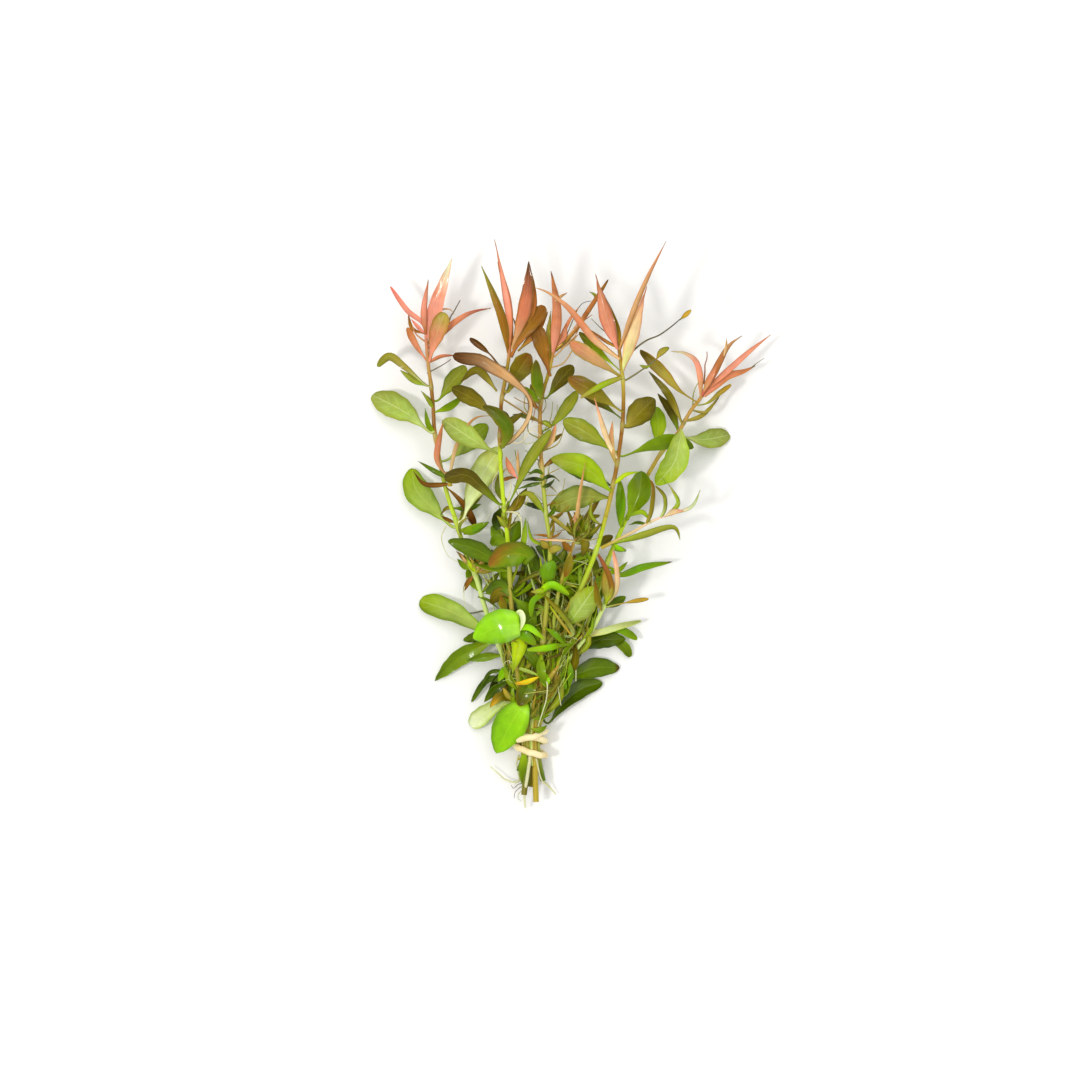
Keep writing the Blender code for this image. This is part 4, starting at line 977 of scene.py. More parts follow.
singleLeaves = {
    "leaf_left_1": leaf("under", "spoon", 10.9, (429, 431, 18.5), (405, 412, 10), (371, 394, 0),
                        roll=-8, fold=10),
    "leaf_left_2": leaf("oliveCurl", "paddle", 3.3, (426, 385, 20.5), (405, 367, 22), (389, 356, 20),
                        (377, 366, 16), roll=20, fold=15),
    "leaf_left_3": leaf("oliveGreen", "spoon", 7, (439, 399, 18.5), (451, 383, 20), (466, 366, 18),
                        roll=15, fold=15),
    "leaf_left_4": leaf("underGreen", "spoon", 10.8, (451, 526, 14), (431, 507, 9), (415, 489, 5),
                        (411, 468, 2), roll=-10),
    "leaf_left_5": leaf("underBrowned", "spoon", 10.9, (463, 519, 16.5), (471, 497, 21), (484, 472, 22),
                        (500, 447, 21), fold=10),
    "leaf_left_6": leaf("greyUnder", "spoon", 9.2, (494, 452, 34), (475, 441, 31), (443, 420, 27),
                        fold=10),
    "leaf_left_7": leaf("underGreen", "spoon", 8.4, (448, 459, 16), (464, 446, 15), (487, 424, 12),
                        roll=5, fold=10),
    "leaf_left_8": leaf("deepGreen", "oval", 7.6, (498, 561, 26), (475, 549, 21), (448, 541, 18)),
    "leaf_inner_left_1": leaf("maroonBlade", "scarf", 5.6, (508, 443, 38), (523, 429, 41),
                              (531, 409, 44.5), (524, 391, 46.5), (503, 375, 48.5), (484, 363, 48),
                              (470, 360, 46.5), (453, 357, 44), roll=12, fold=18, wave=0.9, turn=0.58),
    "leaf_inner_left_2": leaf("oliveBrown", "spoon", 8.6, (509, 392, 42), (518, 373, 43.5),
                              (530, 355, 42), roll=-15),
    "leaf_inner_left_3": leaf("darkOlive", "longSpoon", 6.2, (499, 504, 34.5), (485, 490, 36),
                              (466, 475, 33), (445, 479, 26), roll=15, fold=14),
    "leaf_inner_left_4": leaf("olive", "spoon", 7, (496, 419, 38.5), (478, 402, 36.5), (452, 388, 32),
                              roll=12),
    "leaf_inner_left_5": leaf("deepOlive", "oval", 6, (503, 447, 40.5), (508, 430, 43), (497, 415, 44),
                              (483, 407, 43), fold=15),
    "leaf_inner_left_6": leaf("oliveGreen", "spoon", 4.8, (509, 503, 33), (529, 462, 38),
                              (551, 430, 39), fold=15),
    "leaf_inner_left_7": leaf("halfBrown", "oval", 10.4, (527, 558, 31), (522, 554, 33), (506, 555, 33),
                              (489, 566, 29), roll=5, fold=8, skew=-0.3),
    "leaf_centre_1": leaf("deepOlive", "oval", 5, (541, 398, 39.5), (537, 380, 44), (536, 361, 46),
                          roll=15, fold=15),
    "leaf_centre_2": leaf("darkOlive", "spoon", 6.3, (547, 398, 36), (560, 381, 37), (573, 366, 34),
                          roll=12),
    "leaf_centre_3": leaf("oliveGreen", "spoon", 5, (546, 430, 33), (559, 418, 32), (578, 391, 30),
                          fold=15),
    "leaf_inner_right_1": leaf("oliveBrown", "spoon", 7.4, (619, 411, 41), (597, 395, 42),
                               (568, 378, 41), roll=12),
    "leaf_inner_right_2": leaf("olive", "oval", 10.1, (628, 426, 37), (639, 414, 37), (654, 399, 36),
                               roll=20, fold=14),
    "leaf_inner_right_3": leaf("oliveGreen", "spoon", 8.6, (612, 451, 36), (588, 434, 37),
                               (563, 421, 35)),
    "leaf_inner_right_4": leaf("limeLeaf", "oval", 9.5, (608, 489, 34), (584, 467, 37), (551, 459, 36),
                               roll=12),
    "leaf_inner_right_5": leaf("greyGreen", "oval", 10, (602, 497, 30.5), (578, 497, 31),
                               (550, 509, 28), roll=12, fold=10),
    "leaf_inner_right_6": leaf("green", "spoon", 6.6, (624, 456, 35), (648, 447, 29), (672, 442, 24),
                               (694, 447, 20), fold=15),
    "leaf_right_1": leaf("freshGreen", "spoon", 6.6, (658, 446, 14.5), (659, 425, 13), (656, 406, 9),
                         fold=10),
    "leaf_right_2": leaf("under", "spoon", 8.4, (686, 437, 17), (706, 439, 10), (731, 434, 0), roll=8,
                         fold=10),
    "leaf_right_3": leaf("freshPale", "oval", 10.5, (681, 432, 22), (679, 443, 26.5), (674, 463, 26),
                         (656, 485, 22), fold=10),
    "leaf_right_4": leaf("brightGreen", "lance", 3, (613, 569, 13), (622, 575, 14), (645, 567, 12),
                         (673, 562, 9), roll=20, fold=15, burnt=0.9),
    "leaf_right_5": leaf("green", "spoon", 10, (628, 519, 17.5), (639, 494, 20), (642, 471, 20)),
    "leaf_right_6": leaf("brightGreen", "oval", 4.2, (621, 525, 17), (621, 503, 20), (620, 480, 21),
                         fold=15),
    "leaf_low_1": leaf("underGreen", "longSpoon", 9.6, (485, 632, 11), (455, 614, 6.5), (419, 601, 2),
                       roll=-8, fold=10),
    "leaf_low_2": leaf("vividGloss", "egg", 14.4, (520, 625, 26), (498, 627, 25.5), (473, 638.5, 21),
                       roll=0, fold=2, wave=0.15, droop=0.0, twist=0),
    "leaf_low_3": leaf("green", "lance", 7, (492, 641, 10.5), (459, 658, 7), (434, 682, 2.5), roll=15,
                       fold=20),
    "leaf_low_4": leaf("yellowGreen", "flag", 6.4, (519, 643, 24), (517, 655, 25), (512.5, 673, 24),
                       roll=25, fold=20, wave=0.2),
    "leaf_low_5": leaf("vividGloss", "egg", 14.0, (521, 707, 19.5), (509, 727, 18.5), (496.5, 754, 13),
                       fold=2, wave=0.15, droop=0.0, twist=0),
    "leaf_low_6": leaf("raggedPale", "longSpoon", 7.6, (508, 703, 9), (494, 708, 7), (470, 727, 2.5),
                       roll=-10),
    "leaf_low_7": leaf("vivid", "strap", 3.2, (543, 590, 28), (553, 585, 30.5), (569, 595, 28), roll=15,
                       fold=20),
    "leaf_low_8": leaf("limeUnder", "oval", 10.9, (570, 622, 21.3), (582, 606, 23.5), (595, 587, 25),
                       roll=8, fold=10),
    "leaf_low_9": leaf("deepGreen", "oval", 8.4, (571, 678, 6.5), (595, 669, 4), (620, 669, 1.5),
                       roll=12, fold=14, burnt=0.9),
    "leaf_low_10": leaf("darkGreen", "spoon", 7.6, (549, 724, 5), (564, 705, 4.5), (582, 690, 3),
                        (603, 684, 1.5), roll=15, fold=14),
    "leaf_low_11": leaf("paleStalk", "strap", 2.8, (579, 636.5, 12), (603, 632, 11), (620, 627, 10),
                        (642, 621.5, 7), roll=15, fold=15),
    "leaf_low_12": leaf("darkGreen", "oval", 7, (583, 647, 7), (602, 641, 6), (626, 640, 4), fold=14),
    "leaf_low_13": leaf("oliveStrap", "strap", 2.1, (569, 637, 19), (573, 631, 22.5), (561, 613, 28),
                        (544, 595, 30.5), roll=20, fold=15),
    "leaf_low_14": leaf("deepOlive", "oval", 7.6, (533, 679, 20.5), (527, 689, 22), (519, 706, 21),
                        fold=15),
}

grownLeaves = {}
grownLeaves["tip_left"] = sprig(
    10, 15,
    leaf("pinkStrap", "strap", 2.1, (427, 331, 22.5), (421, 321, 22.5), (407, 310, 22), (390, 286, 20)),
    leaf("pinkStrap", "lance", 1.6, (427, 336, 22), (420, 329, 21), (411, 319, 20)),
    leaf("bronze", "lance", 1.5, (425, 334, 22), (412, 328, 20.5), (408, 313, 20.5)),
    leaf("pinkNeedle", "needle", 2.6, (426, 334, 22.5), (424, 311, 26), (428.5, 280, 29), burnt=0.8),
    leaf("wetPink", "needle", 6, (427, 338, 22), (438, 300, 27), (452, 259, 30)),
    leaf("tanSpoon", "paddle", 7.4, (429, 361, 21.5), (436, 337, 27), (445, 313, 29), fold=12),
    leaf("salmonTip", "needle", 2.6, (428, 348, 21), (450, 326, 24), (470, 313, 24.5), (491, 308, 24)),
    leaf("tanPink", "needle", 1.1, (427, 346, 21), (439, 313, 23), (449, 309, 23), (454, 314, 22)),
    leaf("salmonTan", "paddle", 2.8, (428, 363, 21), (416, 345, 19), (407, 327, 17)),
    leaf("salmonTip", "needle", 1.5, (429, 362, 21), (441, 356, 21), (455, 355, 19)),
)
grownLeaves["tip_inner_left"] = sprig(
    15, 15,
    leaf("bronze", "paddle", 6.6, (511, 358, 41), (524, 334, 45), (545, 308, 46), roll=12, skew=0.2),
    leaf("copper", "lance", 3, (518, 352, 40), (536, 333, 41), (548, 313, 42), roll=12),
    leaf("goldenGreen", "needle", 3.5, (509, 354, 41), (502, 318, 45), (482, 268, 46)),
    leaf("pinkNeedle", "flame", 2.9, (510, 352, 42), (509, 314, 46), (495, 242, 51), burnt=0.4),
    leaf("pinkNeedle", "lance", 2.8, (513, 345, 42), (508, 300, 46.5), (498, 264, 49)),
    leaf("oliveBrown", "needle", 1.3, (511, 346, 42), (517, 333, 42), (513, 318, 42)),
    leaf("redBlade", "lance", 5.6, (512, 350, 42), (523, 318, 48), (528, 290, 51), (529, 264, 53),
         roll=10, burnt=0.9),
    leaf("copper", "lance", 2.2, (523, 336, 44), (534, 308, 47), (532, 275, 50), roll=10),
    leaf("darkBrown", "tailed", 2.6, (507, 369, 41), (499, 366, 40), (489, 354, 39), (470, 339, 38),
         roll=10),
)
grownLeaves["tip_centre"] = sprig(
    15, 15,
    leaf("bronze", "paddle", 6.4, (550, 377, 38), (543, 351, 41), (536, 326, 42.5)),
    leaf("salmonTan", "needle", 4.2, (553, 354, 38.5), (557, 312, 45), (551, 273, 49), burnt=0.8),
    leaf("oliveGold", "needle", 2.4, (550, 363, 38), (548, 340, 40), (551, 312, 40)),
    leaf("oliveGold", "lance", 2.2, (551, 356, 38), (549, 340, 38), (547, 326, 37.5)),
    leaf("salmonRed", "lance", 2, (558, 346, 39), (564, 338, 41), (566, 325, 42)),
    leaf("copper", "strap", 2, (555, 352, 38), (575, 331, 41), (594, 303, 44), (608, 281, 45),
         burnt=0.8),
    leaf("tan", "needle", 1.2, (555, 303, 46), (561, 298, 46), (567, 294.5, 46), burnt=0.8),
    leaf("oliveGreen", "needle", 1.2, (597, 301, 43), (594, 296, 44), (589, 293.5, 44)),
    leaf("redPink", "needle", 1.6, (556, 350, 38), (569, 322, 42), (580, 307, 43), burnt=0.8),
    leaf("tan", "needle", 1.6, (554, 350, 38), (566, 345, 37), (579, 335, 36)),
)
grownLeaves["tip_inner_right"] = sprig(
    15, 12,
    leaf("tanArch", "needle", 2.9, (619, 360, 43), (594, 341, 47.5), (570, 312, 52), (550, 296, 53),
         (535, 290, 53), fold=15),
    leaf("pinkTan", "needle", 2.2, (619, 351, 43), (633, 312, 48), (648, 277, 51), (665, 244, 52),
         fold=15, burnt=0.7),
    leaf("pinkYellow", "flame", 5.4, (622, 372, 42), (634, 330, 45), (646, 288, 46), fold=15),
    leaf("salmonRed", "flame", 5.8, (617, 350, 43), (607, 322, 45), (600, 295, 46), (595, 276, 46),
         roll=10, fold=15),
    leaf("goldenBrown", "needle", 2.2, (619, 350, 42), (617, 330, 41.5), (604, 296, 40), fold=15),
    leaf("tanPink", "paddle", 5.8, (622, 379, 41.5), (596, 361, 44), (570, 344, 44)),
    leaf("oliveTipped", "spoon", 3.8, (621, 373, 41.5), (600, 354, 40.5), (579, 333, 38)),
    leaf("oliveYellow", "strap", 2.5, (622, 378, 42), (602, 386, 46), (580, 399, 46)),
    leaf("copper", "needle", 1.3, (617, 349, 42.5), (603, 341, 44), (587, 329, 45)),
    leaf("oliveGold", "oval", 2.7, (655, 361, 42), (661, 353, 42), (668.5, 348.5, 41), burnt=0.8),
    leaf("oliveGreen", "lance", 1.4, (650, 366, 42), (645, 368, 42), (639, 366, 42)),
    leaf("goldTip", "oval", 1.9, (679, 321, 40), (685, 316, 40), (690.5, 311, 40)),
)
grownLeaves["tip_right"] = sprig(
    15, 15,
    leaf("salmonStrap", "needle", 2.5, (705, 391, 22), (731, 368, 21), (750, 351, 18),
         (771.5, 334, 14)),
    leaf("copperRed", "needle", 2.9, (702, 396, 22), (715, 371, 25), (728, 347, 28), (742, 336, 28),
         burnt=0.5),
    leaf("redPink", "needle", 2.4, (704, 391, 22.5), (711, 376, 25), (720, 360, 26)),
    leaf("tan", "needle", 1, (724, 356, 27), (726, 347, 28), (726.5, 338.5, 28)),
    leaf("pinkCurl", "needle", 2.4, (701, 396, 22), (700, 374, 25), (695, 360, 26), (684, 353, 26),
         (671, 351.5, 26)),
    leaf("salmonTan", "needle", 3.4, (704, 396, 22), (726, 377, 19), (744, 371, 16), (756, 365, 14),
         burnt=0.9),
    leaf("limeStrap", "paddle", 2, (698, 405, 21.5), (709, 402, 18), (721, 392, 15), (732, 384, 13)),
    leaf("oliveStalk", "needle", 1.1, (693, 410, 21), (706, 412, 16), (715, 403, 13), (722, 393, 12)),
    leaf("oliveTan", "spoon", 4.8, (698, 403, 22), (679, 390, 24), (664, 373, 25), (640, 350, 25)),
)
grownLeaves["shoot_low_right"] = sprig(
    15, 15,
    leaf("oliveBrown", "lance", 2.8, (602, 611, 19), (598, 600, 26), (595, 580, 29)),
    leaf("limeStrap", "lance", 5, (606, 604, 20), (608, 590, 25), (604, 570, 27)),
    leaf("pinkYellow", "strap", 2.1, (608, 603, 20), (616, 590, 25), (617, 572, 28), (613, 550, 28)),
    leaf("brownStrap", "strap", 2.2, (610, 600, 20), (612, 588, 26), (608, 573, 30), (598, 554, 32)),
    leaf("brightGreen", "lance", 2.6, (569, 659, 13), (570.5, 672, 14), (569.5, 689, 12), roll=10,
         fold=12),
    leaf("emerald", "oval", 3.4, (559, 673, 11.5), (562, 682, 14), (566, 690, 13), roll=10, fold=12),
    leaf("orangeTip", "tailed", 1.9, (603, 608, 19), (625, 603, 18.5), (649, 599, 16)),
    leaf("darkGreen", "oval", 3.8, (603, 607, 19), (613, 604, 16.5), (626, 597, 13), roll=10, fold=12),
)
grownLeaves["shoot_centre"] = sprig(
    10, 12,
    leaf("tanPink", "needle", 1.8, (575, 540, 27.5), (579, 500, 36), (585, 463, 40), roll=15, fold=15),
    leaf("pinkYellow", "needle", 1.1, (576, 541, 28), (556, 540, 33.5), (531, 539, 33)),
    leaf("oliveBrown", "oval", 3.6, (571, 553, 27), (569, 563, 30.5), (565, 577, 30)),
    leaf("bronze", "lance", 3, (571, 551, 27), (566, 546, 31), (562, 540, 32)),
    leaf("oliveYellow", "lance", 2.8, (578, 538, 28), (585, 527, 29.5), (591, 513, 29)),
    leaf("tanPink", "lance", 1.8, (577, 535, 28), (576, 525, 32), (574, 514, 33)),
    leaf("olive", "lance", 3.6, (577, 537, 28), (585, 543, 31), (582, 557, 29.5)),
    leaf("oliveBrown", "lance", 2.6, (576, 538, 27), (588, 516, 26.5), (602, 495, 26.5), roll=15,
         fold=15),
    leaf("oliveBrown", "needle", 1.8, (575, 540, 27), (572, 522, 26), (565, 505, 24.5), roll=15,
         fold=15),
    leaf("bronze", "oval", 3.4, (564, 571, 25.6), (569, 565, 23), (575, 555, 21)),
    leaf("darkGreen", "oval", 6, (550, 648, 19.2), (545, 656, 10), (537, 668, 1)),
)
grownLeaves["side_shoot_right"] = sprig(
    15, 15,
    leaf("oliveGreen", "lance", 2.9, (608, 545, 28.5), (640, 536, 32), (672, 527, 32), (680, 540, 30)),
    leaf("oliveYellow", "needle", 1.8, (666, 516, 31), (678, 503, 32), (668, 484, 32)),
    leaf("palePink", "lance", 2.2, (664, 517, 31), (673, 512, 32.5), (683, 511, 32)),
    leaf("oliveStrap", "strap", 1.5, (660, 518, 30.5), (664.7, 509, 33), (664, 496, 34),
         (655, 486, 34)),
    leaf("oliveBrown", "strap", 1.8, (645.6, 525, 30), (651, 511, 33), (653, 489, 34), (650, 480, 34)),
    leaf("freshGreen", "lance", 1.9, (650, 522, 30), (642, 512, 31), (627, 517, 31)),
    leaf("darkGreen", "needle", 1.3, (646, 524, 30), (637, 522.5, 30), (629, 525, 30)),
    leaf("vivid", "lance", 2, (612, 543, 28), (618, 548, 27), (624.5, 551, 26)),
    leaf("paleGrey", "needle", 1.4, (676, 513, 31), (692, 506, 31), (700, 490, 30)),
)
grownLeaves["side_shoot_left"] = sprig(
    15, 15,
    leaf("redPink", "lance", 2.6, (447, 476, 20), (437, 458, 24), (443, 423, 31)),
    leaf("tan", "needle", 1.6, (449, 479, 20), (457, 445, 26), (473, 420, 31.5), (491, 416, 34.5)),
    leaf("darkBrown", "needle", 2, (450, 484, 19.5), (425, 484, 17), (413, 471, 14)),
    leaf("deepGreen", "needle", 2, (448, 478, 20), (433, 470, 20), (418, 461, 18)),
)
grownLeaves["stem_left"] = sprig(
    10, 12,
    leaf("deepGreen", "needle", 1.2, (478, 597, 12.5), (489, 601, 15), (499, 610, 17)),
    leaf("oliveGreen", "lance", 2.6, (427, 386, 20), (414, 380, 20.5), (400, 370, 21)),
    leaf("green", "needle", 2.2, (434, 432, 18), (428, 424, 21), (425, 408, 22)),
    leaf("oliveGreen", "needle", 2, (433, 408, 19), (428, 399, 21), (421, 391, 21)),
    leaf("green", "lance", 3.2, (434, 412, 19), (450, 406, 17), (463, 395, 14)),
    leaf("bronze", "lance", 2.2, (474, 575, 13.5), (468, 582, 11), (463, 592, 8)),
    leaf("khakiSmall", "needle", 1.6, (475, 571, 14), (473, 563, 17), (469, 556, 18)),
    leaf("yellowGreen", "needle", 2, (475, 572, 14), (470, 565, 16), (466, 557, 16)),
    leaf("tan", "needle", 1.4, (476, 571, 14.5), (480, 564, 18), (485, 558, 19)),
    leaf("tan", "needle", 1.4, (477, 572, 14), (483, 568, 17), (489, 566, 18)),
    leaf("freshGreen", "needle", 1.2, (476, 570, 14.5), (484, 558, 19), (492, 549, 22)),
    leaf("oliveStalk", "needle", 1.7, (477, 573, 14), (489, 571, 17), (502, 568, 19)),
    leaf("green", "lance", 2.6, (472, 570, 13.5), (464, 566, 11), (457, 559, 9)),
    leaf("oliveBrown", "needle", 1.8, (467, 562, 13.5), (462, 557, 15), (456, 551, 15)),
    leaf("tanPink", "needle", 1.4, (468, 564, 13.8), (464, 560, 16), (460, 553, 17)),
    leaf("darkBrown", "lance", 1.6, (455, 523, 14.5), (448, 520, 13), (441, 516, 12)),
    leaf("olive", "needle", 1.5, (452, 509, 15.5), (446, 508, 13), (440, 515, 12)),
    leaf("deepGreen", "lance", 2.8, (453, 508, 15.5), (468, 508, 14), (481, 504, 13)),
    leaf("darkBrown", "longSpoon", 3.2, (446, 487, 16.5), (455, 495, 18), (466, 508, 17),
         (475, 526, 14)),
    leaf("deepGreen", "oval", 4.5, (491, 627, 11.5), (478, 636, 9), (463, 641, 7)),
    leaf("darkGreen", "needle", 1.6, (506, 672, 10.5), (490, 673, 10), (480, 689, 7)),
    leaf("darkGreen", "lance", 3.6, (508, 683, 10.5), (495, 690, 10), (484, 703, 7)),
    leaf("darkOlive", "lance", 2.4, (512, 690, 10), (507, 688, 13), (501, 695, 13)),
    leaf("nightGreen", "lance", 2.6, (505, 668, 10.5), (494, 684, 7), (487, 700, 4)),
    leaf("green", "lance", 4.2, (458, 530, 15), (472, 530, 19), (489, 522, 20)),
    leaf("green", "lance", 3.6, (503, 656, 10.5), (488, 657, 11), (467, 661, 9)),
    leaf("darkGreen", "strap", 2.6, (511, 684, 10), (488, 680, 7), (471, 703, 3)),
    leaf("yellowTip", "lance", 4, (515, 703, 10), (506, 697, 13), (498, 698, 14), (490, 708, 13)),
    leaf("vivid", "lance", 3.6, (508, 672, 10.5), (504, 672, 14), (498, 682, 15)),
    leaf("brightGreen", "lance", 2.5, (464, 534, 15), (475.7, 529, 20), (488, 523, 22), fold=20),
    leaf("deepOlive", "oval", 6.8, (457, 524, 15), (474, 494, 7), (493, 463, 0.5)),
)
grownLeaves["stem_inner_left"] = sprig(
    10, 12,
    leaf("olive", "lance", 3.4, (497, 392, 40), (478, 371, 42), (461, 383, 38)),
    leaf("olive", "lance", 4.2, (505, 512, 33), (516, 506, 30), (527, 488, 28)),
    leaf("freshGreen", "lance", 2.4, (509, 556, 29), (522, 548, 32), (526, 518, 35)),
    leaf("nightGreen", "oval", 5, (505, 506, 32), (499, 515, 30), (496, 530, 28)),
    leaf("olive", "oval", 4.6, (511, 598, 24), (500, 592, 25), (491, 604, 22)),
    leaf("green", "lance", 2.2, (531, 729, 17), (539, 731, 18), (547, 726, 17)),
    leaf("vivid", "lance", 2.8, (514, 634, 22.5), (522, 628, 26), (530, 628, 28), (538, 634, 28.5),
         (545, 640, 27)),
    leaf("olive", "lance", 3, (500, 430, 38), (512, 421, 39), (524, 413, 39)),
    leaf("green", "oval", 6, (509, 552, 29), (500, 538, 26), (492, 526, 23)),
    leaf("deepGreen", "oval", 5, (517, 604, 25), (508, 590, 26), (498, 585, 24), (486, 593, 19)),
    leaf("milkCurl", "lance", 2.4, (513, 617, 24), (520, 612, 27.5), (523, 620, 29), (520, 631, 28)),
    leaf("oliveBrown", "lance", 3.2, (506, 612, 23), (503, 604, 26), (501, 595, 28)),
    leaf("deepGreen", "oval", 7, (513, 597, 26), (526, 611, 25), (533, 629, 22)),
    leaf("brightGreen", "oval", 4.2, (514, 637, 22), (525, 636, 25.5), (536, 645, 25.5)),
    leaf("deepGreen", "lance", 5, (515, 646, 21), (527, 652, 23), (536, 662, 22), (544, 676, 19)),
    leaf("deepGreen", "oval", 6.5, (508, 548, 29), (514, 534, 27), (519, 521, 25)),
    leaf("green", "oval", 5.5, (508, 546, 29.5), (499, 540, 28), (491, 545, 26)),
    leaf("salmonRed", "lance", 2.6, (518, 479, 36), (511, 470, 37), (506, 457, 38)),
    leaf("tanPink", "needle", 1.4, (519, 478, 36), (518, 464, 37), (518, 450, 38)),
    leaf("darkBrown", "needle", 1.5, (502, 481, 34.5), (510, 478, 36), (517, 478, 36.5)),
    leaf("freshPale", "needle", 1.4, (517, 668, 19), (530, 672, 24), (543, 678, 22.5)),
    leaf("green", "strap", 4.2, (524, 755, 15), (523.5, 768, 14), (526, 790, 9)),
    leaf("darkGreen", "oval", 5.6, (512, 612, 24), (524, 608, 19), (536, 597, 15)),
    leaf("darkOlive", "spoon", 5, (501, 442, 37), (507, 425, 28), (497, 410, 17)),
    leaf("darkOlive", "spoon", 5, (502, 399, 39.5), (515, 380, 29), (526, 362, 19)),
)
grownLeaves["stem_centre"] = sprig(
    10, 12,
    leaf("green", "lance", 3.4, (541, 405, 36), (532, 396, 35), (524, 387, 33)),
    leaf("freshGreen", "needle", 1.4, (545, 546, 31), (532, 539, 33), (527.4, 521, 34)),
    leaf("goldenBrown", "needle", 1.4, (549, 541, 31), (553, 531, 32), (554, 521, 33)),
    leaf("limeStrap", "strap", 1.2, (550, 606, 26), (559, 619, 28), (572, 636, 26)),
    leaf("khakiSmall", "needle", 1.0, (564, 614, 25), (568, 608, 27), (569, 602, 28)),
    leaf("brightGreen", "strap", 2.5, (547, 592, 26), (533, 601, 29), (531, 617, 27)),
    leaf("oliveYellow", "lance", 2.4, (549, 592, 27), (540, 591, 29), (531, 592, 29)),
    leaf("brightGreen", "lance", 2.4, (545, 628, 24), (555, 634, 27), (565, 645, 26)),
    leaf("green", "lance", 3.8, (541, 652, 21), (541, 670, 23.5), (546, 687, 22)),
    leaf("emerald", "oval", 7.2, (547, 585, 27), (548, 573, 30), (554, 561, 31)),
    leaf("nightGreen", "needle", 1.7, (543, 480, 33), (532, 479, 34.5), (522, 481, 34)),
    leaf("nightGreen", "needle", 1.6, (543, 479, 33.5), (550, 476.5, 34.5), (556, 478, 34)),
    leaf("nightGreen", "needle", 1.6, (543, 487, 33), (549, 485, 34.5), (555, 479, 35)),
    leaf("darkGreen", "needle", 1.6, (543, 474, 33.2), (536, 471, 35), (528, 475.5, 35.5)),
    leaf("darkGreen", "needle", 1.6, (542, 483, 33), (531, 485, 32), (518, 489, 31)),
    leaf("greyDark", "needle", 0.8, (545, 484, 33), (551, 487, 34.5), (557, 493, 35)),
    leaf("oliveGreen", "lance", 2.8, (545, 514, 31), (536, 501, 34), (528, 493.5, 34.5),
         (519, 496, 32)),
    leaf("nightGreen", "lance", 2.2, (545, 511, 31), (535, 506, 30), (524, 504, 29)),
    leaf("oliveStalk", "needle", 1.8, (548, 514, 31.5), (563, 526, 33), (576, 537, 30)),
    leaf("bronze", "needle", 1.0, (549, 536, 30), (541, 535, 32.5), (533, 535, 32)),
    leaf("bronze", "needle", 1.0, (550, 537, 30), (556, 536, 32.5), (562, 531, 33)),
    leaf("oliveGold", "oval", 3.6, (549, 553, 29), (554, 549, 32.5), (562, 548, 33)),
    leaf("oliveGold", "oval", 3.2, (549, 548, 30), (545, 545, 32.5), (540, 541, 33)),
    leaf("vivid", "oval", 4.2, (541, 674, 18.5), (545, 679, 22), (546, 687, 22)),
    leaf("yellowEdge", "lance", 1.9, (516, 684, 23), (527, 682, 25), (539, 677, 25), roll=40),
    leaf("tanPink", "lance", 2.6, (542, 452, 33.5), (551, 441, 36), (556, 424, 36.5)),
    leaf("darkGreen", "oval", 5.6, (545, 620, 23.5), (531, 618, 18), (519, 610, 12)),
    leaf("green", "lance", 4.6, (543, 645, 21.5), (530, 641, 17), (518, 634, 11)),
)
grownLeaves["stem_inner_right"] = sprig(
    10, 12,
    leaf("tanPink", "lance", 2.4, (616, 467, 34.5), (611, 446, 39.5), (612, 422, 43.5), roll=15),
    leaf("palePink", "needle", 2.2, (618, 460, 35), (607, 440, 41), (594, 399, 46), roll=15),
    leaf("vivid", "strap", 2.8, (562, 645, 16.5), (546, 648, 25.5), (527, 650, 26.5), roll=15),
    leaf("yellowGreen", "needle", 1.8, (613, 485, 33), (625, 475, 34.5), (639, 472, 32), roll=15),
    leaf("darkOlive", "needle", 1.2, (565, 652, 16), (557, 655.5, 23), (541, 661, 24)),
    leaf("darkOlive", "oval", 3.8, (597, 548, 26), (604, 541, 21), (613, 536, 17)),
    leaf("darkGreen", "oval", 6.4, (613, 487, 33), (588, 474, 21), (560, 464, 9)),
    leaf("darkOlive", "spoon", 5.4, (622, 420, 38), (600, 402, 26), (577, 384, 14)),
    leaf("darkGreen", "oval", 5.6, (583, 584, 23.3), (576, 594, 17), (568, 604, 11)),
)
grownLeaves["stem_right"] = sprig(
    15, 12,
    leaf("olive", "lance", 3.2, (683, 425, 20), (669, 395, 21), (649, 371, 20)),
    leaf("darkOlive", "lance", 3.6, (679, 433, 19), (672, 412, 17), (658, 393, 13)),
    leaf("oliveStalk", "needle", 1.8, (685, 421, 20), (703, 415, 16), (719, 397, 11)),
    leaf("freshGreen", "lance", 2.2, (604, 573, 12), (618, 571, 10), (628, 562, 8)),
    leaf("freshGreen", "lance", 2.4, (613, 550, 12.5), (619, 549, 10), (627, 551, 8)),
    leaf("darkGreen", "lance", 2.8, (577, 645, 9), (608, 634, 7.5), (625, 632, 6.5)),
    leaf("brightGreen", "tailed", 3.2, (580, 640, 9), (606, 632, 8), (622, 631, 7), (638, 640, 5)),
    leaf("green", "tailed", 4.2, (578, 648, 8), (600, 644, 5), (617, 643, 4), (626, 649, 3),
         (631, 658, 2)),
    leaf("darkOlive", "oval", 6.8, (628, 513, 14.5), (638, 495, 8), (642, 476, 1), roll=10),
)

stemWays = {name: smoothWay([place(p) for p in spec["route"]])
            for name, spec in {**stems, **shortShoots}.items()}
seeds = count(1)


def makeShoot(node, spec, start, end):
    # A length of stem with what has grown on it, as one piece
    name = pieceName(node)
    parts = [makeStem(name, spec, start, end)]
    parts += [makeLeaf("grown", grown, next(seeds)) for grown in grownLeaves.get(node, ())]
    parts += [makeRoot("root", thin) for thin in roots.get(node, ())]
    standFor(joined(parts, name), node)


